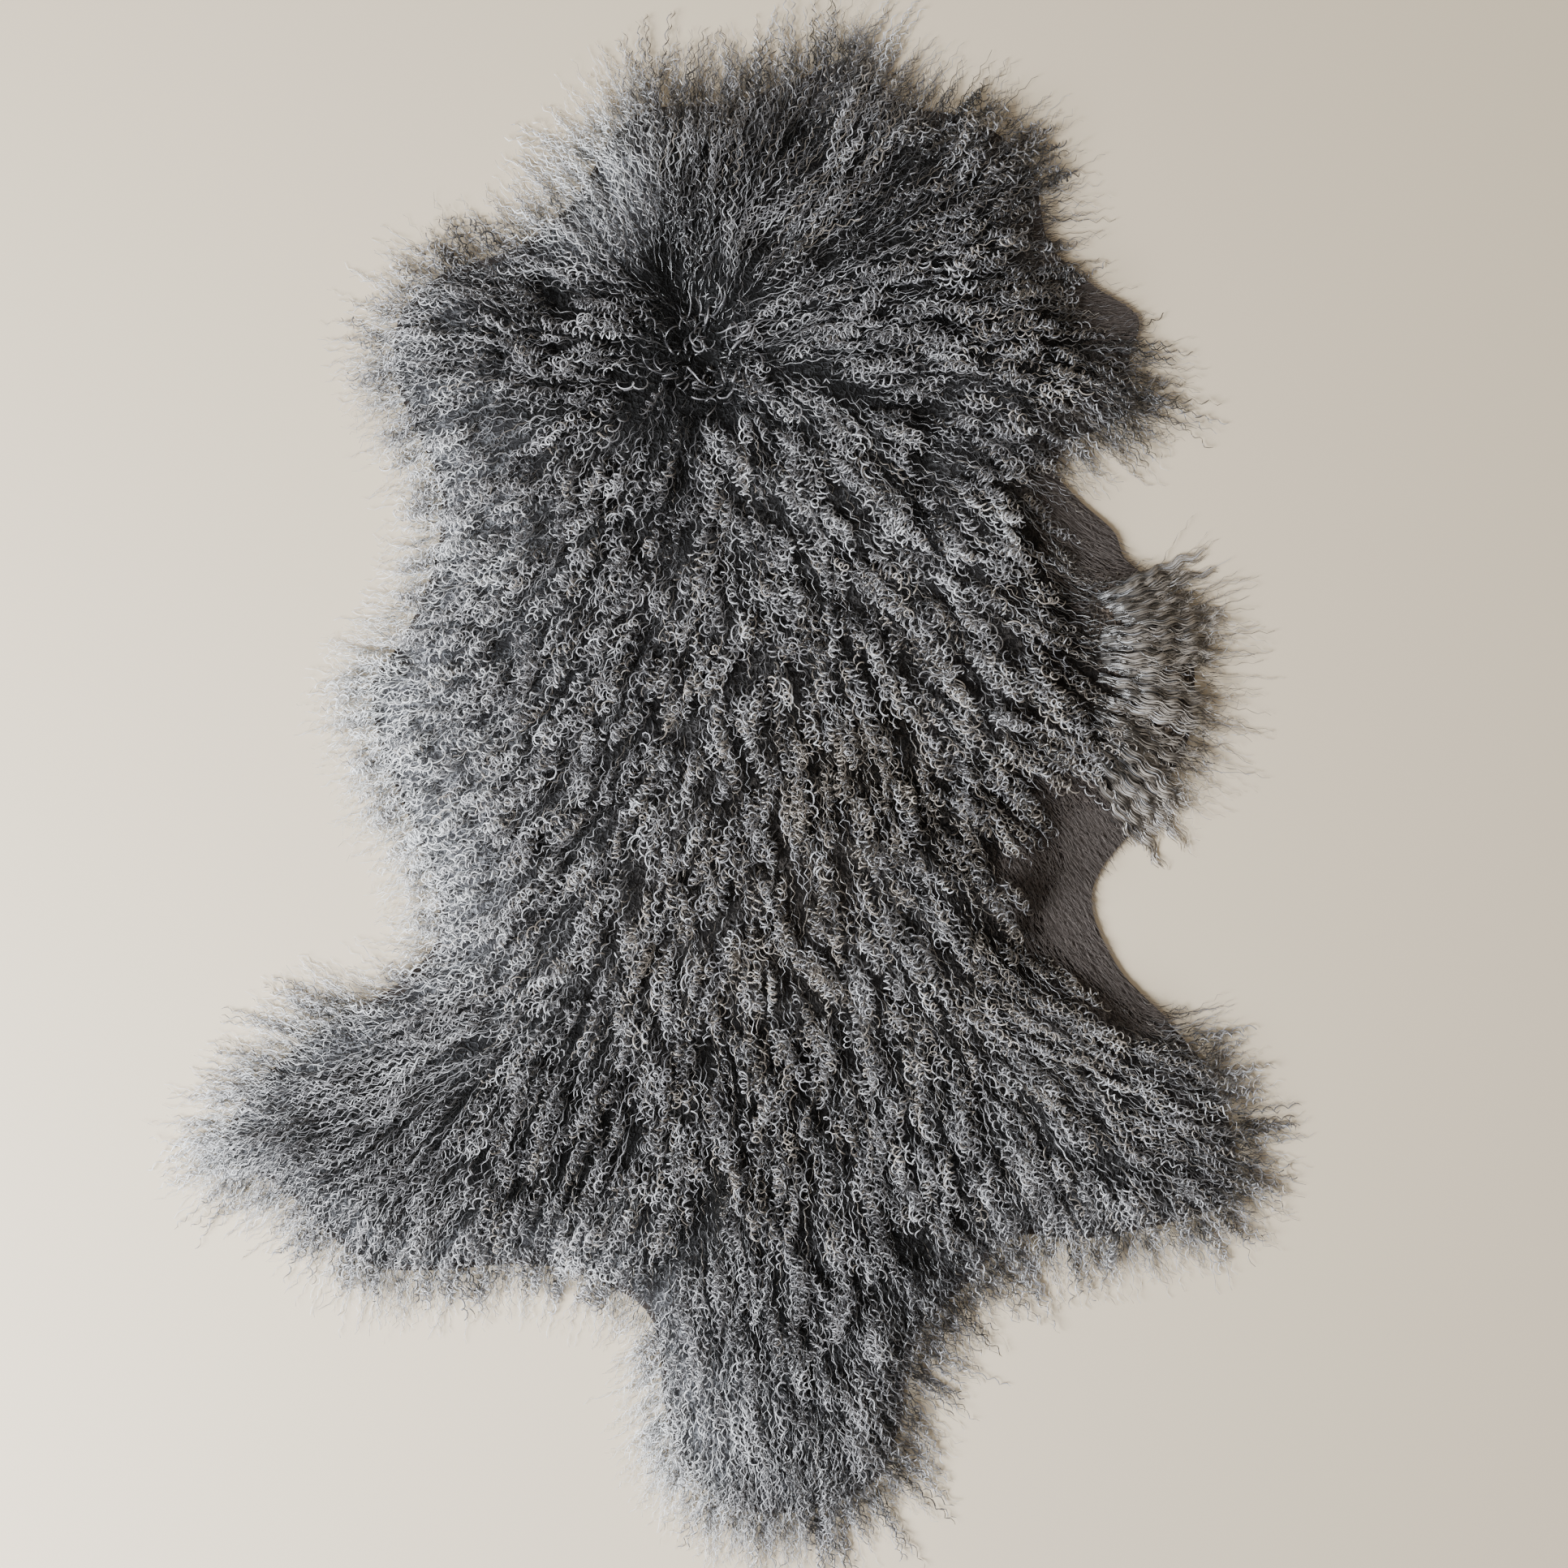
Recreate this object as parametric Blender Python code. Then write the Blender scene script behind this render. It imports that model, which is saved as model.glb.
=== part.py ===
"""A tibetan lambskin throw: one whole tanned skin in its long curly wool, lying flat.

The skin is one solid: a lumpy slab of wool on a thin hide, flat underneath, with locks of
wool at its rim that lie on the surface it rests on. X runs across the skin, Y runs from
the tail to the neck and Z points up. The tables are in millimetres and degrees.
"""

import math

import bpy
import numpy as np
from mathutils import Vector
from mathutils.geometry import delaunay_2d_cdt

MM = 0.001

# The hide, and the wool's height over it.
HIDE_THICKNESS = 2.5
WOOL_SHOULDER = 62.0
FULL_COVER = 14.0
TOP_SPACING = 15.0
RIM_CLEARANCE = 9.3
UNDERSIDE_SPACING = 70.0
UNDERSIDE_CLEARANCE = 23.0

# The locks at the rim. A share is of the root's size or of the way out along the lock.
RIM_INSET = 9.0
FULL_REACH = 15.0
LOCK_OVER_RIM = 7.0
LOCK_ROOT_WIDTH = 12.0
LOCK_GAP = 4.5
LOCK_CROWN_SHARE = 0.62
LOCK_TIP_SHARE = 0.34
LOCK_TIP_HEIGHT = 2.2
LOCK_DROOP = 1.2
LOCK_BENDS = 1.3
LOCK_SWING = 2.6
SWING_STEP = 0.31
LOCK_LENGTH_SHARES = (0.66, 1.12)
LOCK_RINGS = 3
SHORTEST_LOCK = 4.5
LEAN_SHARE = 0.7
WIDEST_LEAN = 42.0

# The raised tufts all over the wool.
TUFT_SPACING = 31.0
TUFT_JITTER = 0.3
TUFT_HALF_LENGTH = 30.0
TUFT_HALF_WIDTH = 15.0
TUFT_HEIGHTS = (4.25, 9.8)
TUFT_TIP_STEEPNESS = 1.35
TUFT_ROUNDNESS = 0.7

COMB_SOFTNESS = 14.0
SPAN_SAMPLES = 12
SHARP_ANGLE = 50
SEED = 11

# The middle of the finished outline, measured from the drawing's zero.
MIDDLE = np.array([-1.6580, -3.1748])

WOOL_COLOUR = (0.115, 0.120, 0.130, 1.0)
WOOL_ROUGHNESS = 0.75

# Columns of the rim's rows.
REACH, HEIGHT = 2, 3

# How the outline is filled: with the triangles inside it, joining points nearer than this.
INSIDE_ONLY = 1
MERGE = 1e-7

# Rim: place, across, along, how far the locks reach past it, height of the rim.
RIM = [
    ("neck tip", 73, 480, 22, 8),
    ("neck tip right", 96, 468, 16, 8),
    ("neck notch", 120, 447, 12, 8),
    ("neck right", 156, 442, 15, 9),
    ("neck right corner", 192, 420, 20, 9),
    ("neck right side", 211, 386, 18, 8),
    ("neck right root", 207, 349, 3, 5),
    ("right foreleg top", 231, 323, 0, 3),
    ("right foreleg corner", 261, 302, 0, 3),
    ("right foreleg end", 270, 269, 20, 7),
    ("right foreleg heel", 268, 235, 22, 7),
    ("right foreleg under", 239, 216, 15, 6),
    ("right armpit", 212, 205, 0, 4),
    ("flank lobe top", 221, 187, 0, 3),
    ("flank lobe corner", 245, 165, 0, 3),
    ("flank lobe end", 254, 146, 0, 4),
    ("right tuft top", 281, 138, 13, 8),
    ("right tuft corner", 304, 114, 24, 8),
    ("right tuft", 311, 74, 25, 9),
    ("right tuft low", 306, 27, 25, 8),
    ("right tuft end", 286, -8, 24, 7),
    ("right tuft under", 264, -14, 6, 4),
    ("bare edge top", 255, -29, 0, 3),
    ("bare edge waist", 238, -50, 0, 3),
    ("bare edge middle", 231, -72, 0, 3),
    ("bare edge low", 240, -100, 0, 3),
    ("bare edge foot", 260, -128, 0, 3),
    ("right hind leg top", 289, -140, 14, 8),
    ("right hind leg shin", 316, -171, 20, 9),
    ("right hind leg end", 334, -215, 20, 9),
    ("right hind leg toe", 337, -254, 18, 9),
    ("right hind leg heel", 320, -279, 20, 8),
    ("right hind leg under", 276, -293, 22, 8),
    ("right hind leg inner", 224, -302, 18, 8),
    ("right crotch", 186, -300, 9, 7),
    ("tail root right", 162, -326, 11, 8),
    ("tail right high", 131, -358, 16, 9),
    ("tail right", 121, -410, 14, 9),
    ("tail right low", 104, -451, 18, 9),
    ("tail end right", 62, -473, 22, 9),
    ("tail end", 16, -477, 22, 9),
    ("tail end left", -21, -462, 24, 9),
    ("tail left low", -46, -431, 24, 9),
    ("tail left", -57, -389, 22, 9),
    ("tail root left", -62, -347, 16, 8),
    ("left crotch", -90, -325, 12, 8),
    ("left hind leg inner", -135, -318, 17, 8),
    ("left hind leg under", -187, -322, 20, 8),
    ("left hind leg corner", -231, -319, 20, 8),
    ("left hind leg heel", -263, -298, 18, 8),
    ("left hind leg sole", -296, -266, 18, 8),
    ("left hind leg toe", -332, -246, 20, 8),
    ("left hind leg tip", -334, -210, 18, 8),
    ("left hind leg top", -296, -163, 20, 8),
    ("left hind leg shin", -255, -132, 18, 8),
    ("left groin", -210, -117, 5, 8),
    ("left flank low", -200, -77, 20, 9),
    ("left flank", -218, -25, 25, 9),
    ("left tuft low", -237, 22, 25, 9),
    ("left tuft", -243, 69, 24, 9),
    ("left tuft notch", -220, 106, 20, 9),
    ("left chest", -203, 147, 22, 9),
    ("left armpit", -199, 188, 16, 8),
    ("left foreleg under", -212, 220, 18, 8),
    ("left foreleg end", -228, 261, 22, 8),
    ("left foreleg corner", -225, 303, 14, 7),
    ("left foreleg top", -192, 338, 8, 6),
    ("left shoulder", -143, 357, 13, 8),
    ("neck left low", -109, 388, 16, 8),
    ("neck left", -86, 427, 18, 8),
    ("neck left top", -52, 449, 16, 8),
    ("neck top", -5, 451, 14, 8),
    ("neck tip left", 34, 465, 15, 8),
]

# Comb: place, across, along, way the wool is combed (from +X, anticlockwise), its depth.
COMB = [
    ("whorl", -26, 290, 115, 20),
    ("neck left", -75, 375, 118, 24),
    ("neck middle", -12, 400, 80, 22),
    ("neck right of middle", 40, 360, 44, 24),
    ("neck tip", 80, 440, 54, 20),
    ("neck right", 150, 405, 38, 24),
    ("left shoulder", -140, 325, 152, 26),
    ("left foreleg", -198, 275, 180, 22),
    ("left armpit", -177, 225, 205, 26),
    ("left chest", -104, 270, 180, 28),
    ("right shoulder", 95, 300, 10, 28),
    ("right shoulder edge", 180, 297, 8, 24),
    ("right foreleg bare", 240, 310, 5, 3),
    ("right foreleg", 246, 250, -30, 13),
    ("right armpit", 160, 240, -14, 24),
    ("flank lobe bare", 228, 172, -40, 3),
    ("back top left", -70, 190, 238, 30),
    ("back top", -12, 205, 266, 30),
    ("back top right", 60, 190, -60, 30),
    ("right chest", 140, 165, -42, 28),
    ("left flank top", -172, 162, 208, 26),
    ("left tuft", -215, 70, 192, 24),
    ("left flank", -140, 85, 222, 30),
    ("back left", -70, 80, 242, 32),
    ("back", -8, 65, 265, 32),
    ("back right", 74, 65, -70, 32),
    ("right flank", 150, 60, -50, 27),
    ("right tuft top", 268, 118, 12, 20),
    ("right tuft", 276, 66, -8, 20),
    ("right tuft low", 268, 14, -34, 16),
    ("right tuft root", 222, 35, -30, 20),
    ("bare strip top", 226, -30, -56, 3),
    ("bare strip", 210, -78, -62, 3),
    ("bare strip foot", 240, -116, -50, 3),
    ("beside the bare strip", 172, -55, -62, 24),
    ("left loin", -178, -50, 206, 27),
    ("loin", -105, -45, 230, 31),
    ("loin middle", -30, -65, 254, 32),
    ("loin right", 45, -65, -82, 32),
    ("loin far right", 115, -85, -68, 30),
    ("left hind leg root", -200, -150, 202, 25),
    ("left hind leg", -285, -195, 192, 22),
    ("left hind leg end", -300, -240, 206, 20),
    ("left thigh", -200, -235, 222, 26),
    ("left thigh under", -205, -295, 246, 22),
    ("left rump", -115, -230, 246, 29),
    ("left rump under", -105, -300, 258, 23),
    ("right hind leg root", 215, -155, -38, 24),
    ("right hind leg", 300, -195, -24, 22),
    ("right hind leg end", 305, -255, -42, 20),
    ("right thigh", 210, -240, -62, 26),
    ("right thigh under", 235, -290, -72, 21),
    ("rump", 30, -210, -90, 31),
    ("rump right", 120, -220, -76, 29),
    ("right crotch", 165, -300, -66, 23),
    ("tail root", 30, -330, -90, 28),
    ("tail left", -30, -400, 262, 22),
    ("tail right", 95, -400, -80, 22),
    ("tail end", 30, -450, -90, 20),
]

# Parting: place, from across, from along, to across, to along, half its width, its depth.
PARTINGS = [
    ("whorl", -36, 350, -10, 255, 13, 13),
    ("back left", -26, 245, -34, 165, 11, 8),
    ("back right", 122, 250, 118, 165, 12, 9),
    ("right tuft", 212, 125, 236, 60, 15, 12),
    ("neck right", 60, 345, 150, 440, 11, 8),
    ("neck middle", 18, 355, 62, 455, 11, 9),
    ("left shoulder", -170, 345, -95, 300, 11, 7),
    ("left foreleg", -215, 240, -130, 240, 11, 7),
    ("tail left", -60, -320, -5, -250, 12, 8),
    ("tail right", 150, -330, 95, -260, 12, 8),
]


def hermite_curve(points, samples):
    """A smooth closed curve through rows of values, with each row's slope from its neighbours."""
    before = np.roll(points, 1, axis=0)
    after = np.roll(points, -1, axis=0)
    slope = (after - before) / 2
    next_slope = np.roll(slope, -1, axis=0)
    steps = []
    for t in np.arange(samples) / samples:
        here = (1 + 2 * t) * (1 - t) ** 2 * points
        leaving = t * (1 - t) ** 2 * slope
        there = t * t * (3 - 2 * t) * after
        arriving = t * t * (t - 1) * next_slope
        steps.append(here + leaving + there + arriving)
    return np.stack(steps, axis=1).reshape(-1, points.shape[1])


def rim_curve():
    """The rim as rows of across, along, reach and height, one row every few millimetres.

    The table draws the edge of the thick wool. The locks leave the rim a little inside it.
    """
    rows = np.array([row[1:] for row in RIM], float)
    rows[:, :2] -= MIDDLE
    curve = hermite_curve(rows, SPAN_SAMPLES)
    curve[:, HEIGHT] = np.maximum(curve[:, HEIGHT], HIDE_THICKNESS)
    run = np.roll(curve[:, :2], -1, axis=0) - np.roll(curve[:, :2], 1, axis=0)
    outward = np.stack([-run[:, 1], run[:, 0]], axis=1) / np.hypot(*run.T)[:, None]
    wool = np.clip(curve[:, REACH] / FULL_REACH, 0, 1)
    curve[:, :2] -= outward * (RIM_INSET * wool)[:, None]
    curve[:, REACH] += LOCK_OVER_RIM * wool
    return curve


def rim_points(curve):
    """Points along the rim: each even one starts the root of a lock and each odd one ends it."""
    closed = np.vstack([curve, curve[:1]])
    steps = np.hypot(*np.diff(closed[:, :2], axis=0).T)
    length = np.concatenate([[0], np.cumsum(steps)])
    root_share = LOCK_ROOT_WIDTH / (LOCK_ROOT_WIDTH + LOCK_GAP)
    count = round(length[-1] / (LOCK_ROOT_WIDTH + LOCK_GAP))
    pitch = length[-1] / count
    starts = np.arange(count) * pitch
    stops = starts + pitch * root_share
    places = np.stack([starts, stops], axis=1).reshape(-1)
    return np.stack([np.interp(places, length, column) for column in closed.T], axis=1)


def shares_of(rows, points, softness):
    """How much each row of a table counts at each point: the nearer it is, the more."""
    away = ((points[:, None] - rows[None]) ** 2).sum(axis=2)
    weight = 1 / (away + softness**2) ** 2
    return weight / weight.sum(axis=1, keepdims=True)


def comb_at(points):
    """The unit direction of the combed wool, and its depth, at each point."""
    rows = np.array([row[1:] for row in COMB], float)
    share = shares_of(rows[:, :2] - MIDDLE, points, COMB_SOFTNESS)
    turn = np.radians(rows[:, 2])
    way = share @ np.stack([np.cos(turn), np.sin(turn)], axis=1)
    way /= np.hypot(way[:, 0], way[:, 1])[:, None]
    return way, share @ rows[:, 3]


def is_inside(points, loop):
    """Whether each point lies inside the closed loop, by counting the sides it crosses."""
    x, y = points[:, 0][:, None], points[:, 1][:, None]
    ax, ay = loop[:, 0][None], loop[:, 1][None]
    bx, by = np.roll(loop[:, 0], -1)[None], np.roll(loop[:, 1], -1)[None]
    spans = (ay > y) != (by > y)
    rise = np.where(by == ay, 1, by - ay)
    crosses = spans & (x < ax + (y - ay) * (bx - ax) / rise)
    return crosses.sum(axis=1) % 2 == 1


def rim_distance(points, curve):
    """How far each point is from the rim, and which row of the curve is the nearest."""
    away = np.hypot(
        points[:, 0][:, None] - curve[:, 0][None], points[:, 1][:, None] - curve[:, 1][None]
    )
    nearest = away.argmin(axis=1)
    return away[np.arange(len(points)), nearest], nearest


def lattice(loop, spacing, clearance, curve):
    """Points in staggered rows inside the loop, none nearer to the rim than the clearance."""
    low, high = loop.min(axis=0), loop.max(axis=0)
    row_step = spacing * math.sqrt(3) / 2
    points = []
    for row, y in enumerate(np.arange(low[1], high[1], row_step)):
        stagger = spacing / 2 * (row % 2)
        points.extend((x, y) for x in np.arange(low[0] + stagger, high[0], spacing))
    points = np.array(points)
    points = points[is_inside(points, loop)]
    distance, _ = rim_distance(points, curve)
    return points[distance > clearance]


def tufts(loop, curve, random):
    """Where each raised tuft of wool lies, which way it points and how high it stands."""
    places = lattice(loop, TUFT_SPACING, TUFT_HALF_WIDTH, curve)
    places += random.uniform(-TUFT_JITTER, TUFT_JITTER, places.shape) * TUFT_SPACING
    way, _ = comb_at(places)
    return places, way, random.uniform(*TUFT_HEIGHTS, len(places))


def tuft_height(points, places, way, height):
    """The height that the tufts add: each is a long mound, steeper where its tip hangs over."""
    offset = points[:, None] - places[None]
    sideways = np.stack([way[:, 1], -way[:, 0]], axis=1)
    along = (offset * way[None]).sum(axis=2) / TUFT_HALF_LENGTH
    across = (offset * sideways[None]).sum(axis=2) / TUFT_HALF_WIDTH
    along = np.where(along > 0, along * TUFT_TIP_STEEPNESS, along)
    mound = np.clip(1 - along**2 - across**2, 0, None) ** TUFT_ROUNDNESS
    return (mound * height[None]).max(axis=1)


def parting_depth(points):
    """How far the partings sink the wool at each point."""
    depth = np.zeros(len(points))
    for _, ax, ay, bx, by, half_width, deep in PARTINGS:
        start = np.array([ax, ay]) - MIDDLE
        run = np.array([bx - ax, by - ay], float)
        place = np.clip((points - start) @ run / (run @ run), 0, 1)
        away = np.hypot(*(points - start - place[:, None] * run).T)
        depth = np.maximum(depth, deep * np.exp(-((away / half_width) ** 2)))
    return depth


def top_height(points, curve, tuft_rows):
    """The height of the wool, or of the bare hide, over each point."""
    distance, nearest = rim_distance(points, curve)
    _, depth = comb_at(points)
    low = curve[nearest, HEIGHT]
    rise = 1 - (1 - np.clip(distance / WOOL_SHOULDER, 0, 1)) ** 2
    height = low + (depth - low) * rise
    cover = np.clip((height - HIDE_THICKNESS) / FULL_COVER, 0, 1)
    height = height + cover * (tuft_height(points, *tuft_rows) - parting_depth(points))
    return np.maximum(height, HIDE_THICKNESS)


def filled(loop, inner):
    """Triangles over the loop and the points inside it. The loop's points come first."""
    points = [Vector(point) for point in np.vstack([loop, inner])]
    sides = [(i, (i + 1) % len(loop)) for i in range(len(loop))]
    points, _, faces, _, _, _ = delaunay_2d_cdt(points, sides, [], INSIDE_ONLY, MERGE)
    return np.array([tuple(point) for point in points]), [tuple(face) for face in faces]


def lock_way(start, stop):
    """The way a lock leaves the rim: out of it, leaning with the comb."""
    chord = (stop - start)[:2]
    outward = np.array([-chord[1], chord[0]]) / np.hypot(*chord)
    middle = (start + stop)[:2] / 2
    comb = comb_at(middle[None])[0][0]
    sine = outward[0] * comb[1] - outward[1] * comb[0]
    most = math.radians(WIDEST_LEAN)
    lean = max(-most, min(most, math.atan2(sine, outward @ comb) * LEAN_SHARE))
    across = np.array([-outward[1], outward[0]])
    return outward * math.cos(lean) + across * math.sin(lean)


def add_lock(vertices, faces, corners, start, stop, swing, length_share):
    """One four-sided lock, from its root in the rim wall to its blunt tip on the floor.

    corners are the root's vertices: low and high at its start, then at its stop. swing is
    how far the lock bends sideways, and length_share how much of the reach it has.
    """
    reach = (start[REACH] + stop[REACH]) / 2 * length_share
    if reach < SHORTEST_LOCK:
        faces.append((corners[0], corners[1], corners[3], corners[2]))
        return
    way = lock_way(start, stop)
    middle = (start + stop)[:2] / 2
    chord = (stop - start)[:2]
    half_root = np.hypot(*chord) / 2
    root_side = chord / (2 * half_root)
    tip_side = np.array([way[1], -way[0]])
    root_height = (start[HEIGHT] + stop[HEIGHT]) / 2
    previous = corners
    for ring in range(1, LOCK_RINGS + 1):
        share = ring / LOCK_RINGS
        side = root_side * (1 - share) + tip_side * share
        side /= np.hypot(*side)
        half = half_root * (1 - (1 - LOCK_TIP_SHARE) * share)
        height = root_height + (LOCK_TIP_HEIGHT - root_height) * share**LOCK_DROOP
        bend = swing * math.sin(math.pi * LOCK_BENDS * share)
        centre = middle + way * reach * share + tip_side * bend
        first = len(vertices)
        for end in (-1, 1):
            foot = centre + side * half * end
            crown = centre + side * half * end * LOCK_CROWN_SHARE
            vertices.append((foot[0], foot[1], 0.0))
            vertices.append((crown[0], crown[1], height))
        ring_corners = (first, first + 1, first + 2, first + 3)
        a, b, c, d = previous
        e, f, g, h = ring_corners
        faces.extend([(a, b, f, e), (c, g, h, d), (b, d, h, f), (a, e, g, c)])
        previous = ring_corners
    a, b, c, d = previous
    faces.append((a, b, d, c))


def pelt_mesh():
    """The skin's vertices, in millimetres, and its faces."""
    random = np.random.default_rng(SEED)
    curve = rim_curve()
    rim = rim_points(curve)
    loop = rim[:, :2]
    count = len(loop)
    tuft_rows = tufts(loop, curve, random)

    inner = lattice(loop, TOP_SPACING, RIM_CLEARANCE, curve)
    top, top_faces = filled(loop, inner)
    heights = top_height(top, curve, tuft_rows)
    heights[:count] = rim[:, HEIGHT]
    vertices = [(x, y, z) for (x, y), z in zip(top, heights)]
    faces = list(top_faces)

    under_inner = lattice(loop, UNDERSIDE_SPACING, UNDERSIDE_CLEARANCE, curve)
    under, under_faces = filled(loop, under_inner)
    base = len(vertices)
    vertices.extend((x, y, 0.0) for x, y in under)
    faces.extend(tuple(base + corner for corner in reversed(face)) for face in under_faces)

    for i in range(count):
        j = (i + 1) % count
        corners = (base + i, i, base + j, j)
        if i % 2:
            faces.append((corners[0], corners[1], corners[3], corners[2]))
        else:
            swing = LOCK_SWING * math.sin(SWING_STEP * i)
            length_share = random.uniform(*LOCK_LENGTH_SHARES)
            add_lock(vertices, faces, corners, rim[i], rim[j], swing, length_share)
    return vertices, faces


def wool_material():
    """Grey dyed wool."""
    material = bpy.data.materials.new("wool")
    material.use_nodes = True
    shader = material.node_tree.nodes["Principled BSDF"]
    shader.inputs["Base Color"].default_value = WOOL_COLOUR
    shader.inputs["Roughness"].default_value = WOOL_ROUGHNESS
    shader.inputs["Metallic"].default_value = 0.0
    material.diffuse_color = WOOL_COLOUR
    return material


def make_pelt():
    """The whole skin as one object."""
    vertices, faces = pelt_mesh()
    mesh = bpy.data.meshes.new("pelt")
    mesh.from_pydata([(x * MM, y * MM, z * MM) for x, y, z in vertices], [], faces)
    mesh.validate()
    mesh.shade_smooth()
    mesh.set_sharp_from_angle(angle=math.radians(SHARP_ANGLE))
    mesh.materials.append(wool_material())
    pelt = bpy.data.objects.new("pelt", mesh)
    bpy.context.scene.collection.objects.link(pelt)


def clear_scene():
    """Removes whatever the scene holds."""
    for thing in list(bpy.data.objects):
        bpy.data.objects.remove(thing, do_unlink=True)


clear_scene()
make_pelt()
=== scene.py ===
# %% [markdown]
# # A tibetan lambskin throw, seen from straight above
#
# The throw is one tanned lambskin with its wool on, dyed grey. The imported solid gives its
# true size and outline: a lumpy slab with locks at its rim. This lesson dresses that solid in
# hide and wool. Every piece is placed from the solid or from the same table of the outline
# that the solid was drawn from, so nothing has to be fitted afterwards.

# %% Load the frame
import math

import bpy
import numpy as np
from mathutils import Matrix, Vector
from mathutils.bvhtree import BVHTree
from mathutils.geometry import delaunay_2d_cdt


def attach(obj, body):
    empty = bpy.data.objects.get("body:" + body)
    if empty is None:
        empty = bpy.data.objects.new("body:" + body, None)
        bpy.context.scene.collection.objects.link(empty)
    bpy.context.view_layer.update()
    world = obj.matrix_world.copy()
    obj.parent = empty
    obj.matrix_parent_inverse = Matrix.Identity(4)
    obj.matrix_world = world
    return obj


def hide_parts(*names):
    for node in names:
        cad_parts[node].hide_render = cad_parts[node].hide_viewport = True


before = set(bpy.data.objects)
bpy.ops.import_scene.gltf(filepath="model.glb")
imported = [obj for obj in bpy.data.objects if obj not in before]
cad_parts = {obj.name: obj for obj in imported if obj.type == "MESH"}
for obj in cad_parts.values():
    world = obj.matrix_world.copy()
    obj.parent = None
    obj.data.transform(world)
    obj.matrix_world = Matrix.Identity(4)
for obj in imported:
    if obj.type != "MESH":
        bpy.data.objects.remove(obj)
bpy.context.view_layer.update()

# %% [markdown]
# ## The drawing
#
# Lengths are in millimetres, because wool is small. Two tables hold what was read off the
# skin: its outline, and how the wool is combed from place to place. The outline's places are
# the solid's. The comb's rows say more here than the solid needs: how curly, how pale and how
# brown the wool is. Their paleness is the wool's tone, raised on the left side as painted window
# light. A row per landmark is easier to change than a long list of points.

# %% The outline: place, across, along, how far the locks reach past it
MM = 0.001
MIDDLE = np.array([-1.6580, -3.1748])
RIM = [
    ("neck tip", 73, 480, 22),
    ("neck tip right", 96, 468, 16),
    ("neck notch", 120, 447, 12),
    ("neck right", 156, 442, 15),
    ("neck right corner", 192, 420, 20),
    ("neck right side", 211, 386, 18),
    ("neck right root", 207, 349, 3),
    ("right foreleg top", 231, 323, 0),
    ("right foreleg corner", 261, 302, 0),
    ("right foreleg end", 270, 269, 20),
    ("right foreleg heel", 268, 235, 22),
    ("right foreleg under", 239, 216, 22),
    ("right armpit", 212, 205, 5),
    ("flank lobe top", 221, 187, 0),
    ("flank lobe corner", 245, 165, 0),
    ("flank lobe end", 254, 146, 0),
    ("right tuft top", 281, 138, 13),
    ("right tuft corner", 304, 114, 24),
    ("right tuft", 311, 74, 25),
    ("right tuft low", 306, 27, 25),
    ("right tuft end", 286, -8, 24),
    ("right tuft under", 264, -14, 6),
    ("bare edge top", 255, -29, 0),
    ("bare edge waist", 238, -50, 0),
    ("bare edge middle", 231, -72, 0),
    ("bare edge low", 240, -100, 0),
    ("bare edge foot", 260, -128, 0),
    ("right hind leg top", 289, -140, 14),
    ("right hind leg shin", 316, -171, 20),
    ("right hind leg end", 334, -215, 20),
    ("right hind leg toe", 337, -254, 18),
    ("right hind leg heel", 320, -279, 20),
    ("right hind leg under", 276, -293, 22),
    ("right hind leg inner", 224, -302, 18),
    ("right crotch", 186, -300, 15),
    ("tail root right", 162, -326, 16),
    ("tail right high", 131, -358, 16),
    ("tail right", 121, -410, 14),
    ("tail right low", 104, -451, 18),
    ("tail end right", 62, -473, 22),
    ("tail end", 16, -477, 22),
    ("tail end left", -21, -462, 24),
    ("tail left low", -46, -431, 24),
    ("tail left", -57, -389, 22),
    ("tail root left", -62, -347, 16),
    ("left crotch", -90, -325, 12),
    ("left hind leg inner", -135, -318, 17),
    ("left hind leg under", -187, -322, 20),
    ("left hind leg corner", -231, -319, 20),
    ("left hind leg heel", -263, -298, 18),
    ("left hind leg sole", -296, -266, 18),
    ("left hind leg toe", -332, -246, 20),
    ("left hind leg tip", -334, -210, 18),
    ("left hind leg top", -296, -163, 20),
    ("left hind leg shin", -255, -132, 18),
    ("left groin", -210, -117, 5),
    ("left flank low", -200, -77, 20),
    ("left flank", -218, -25, 25),
    ("left tuft low", -237, 22, 25),
    ("left tuft", -243, 69, 24),
    ("left tuft notch", -220, 106, 20),
    ("left chest", -203, 147, 22),
    ("left armpit", -199, 188, 16),
    ("left foreleg under", -212, 220, 18),
    ("left foreleg end", -228, 261, 22),
    ("left foreleg corner", -225, 303, 14),
    ("left foreleg top", -192, 338, 12),
    ("left shoulder", -143, 357, 13),
    ("neck left low", -109, 388, 16),
    ("neck left", -86, 427, 18),
    ("neck left top", -52, 449, 16),
    ("neck top", -5, 451, 14),
    ("neck tip left", 34, 465, 15),
]
print("outline rows:", len(RIM))
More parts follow.
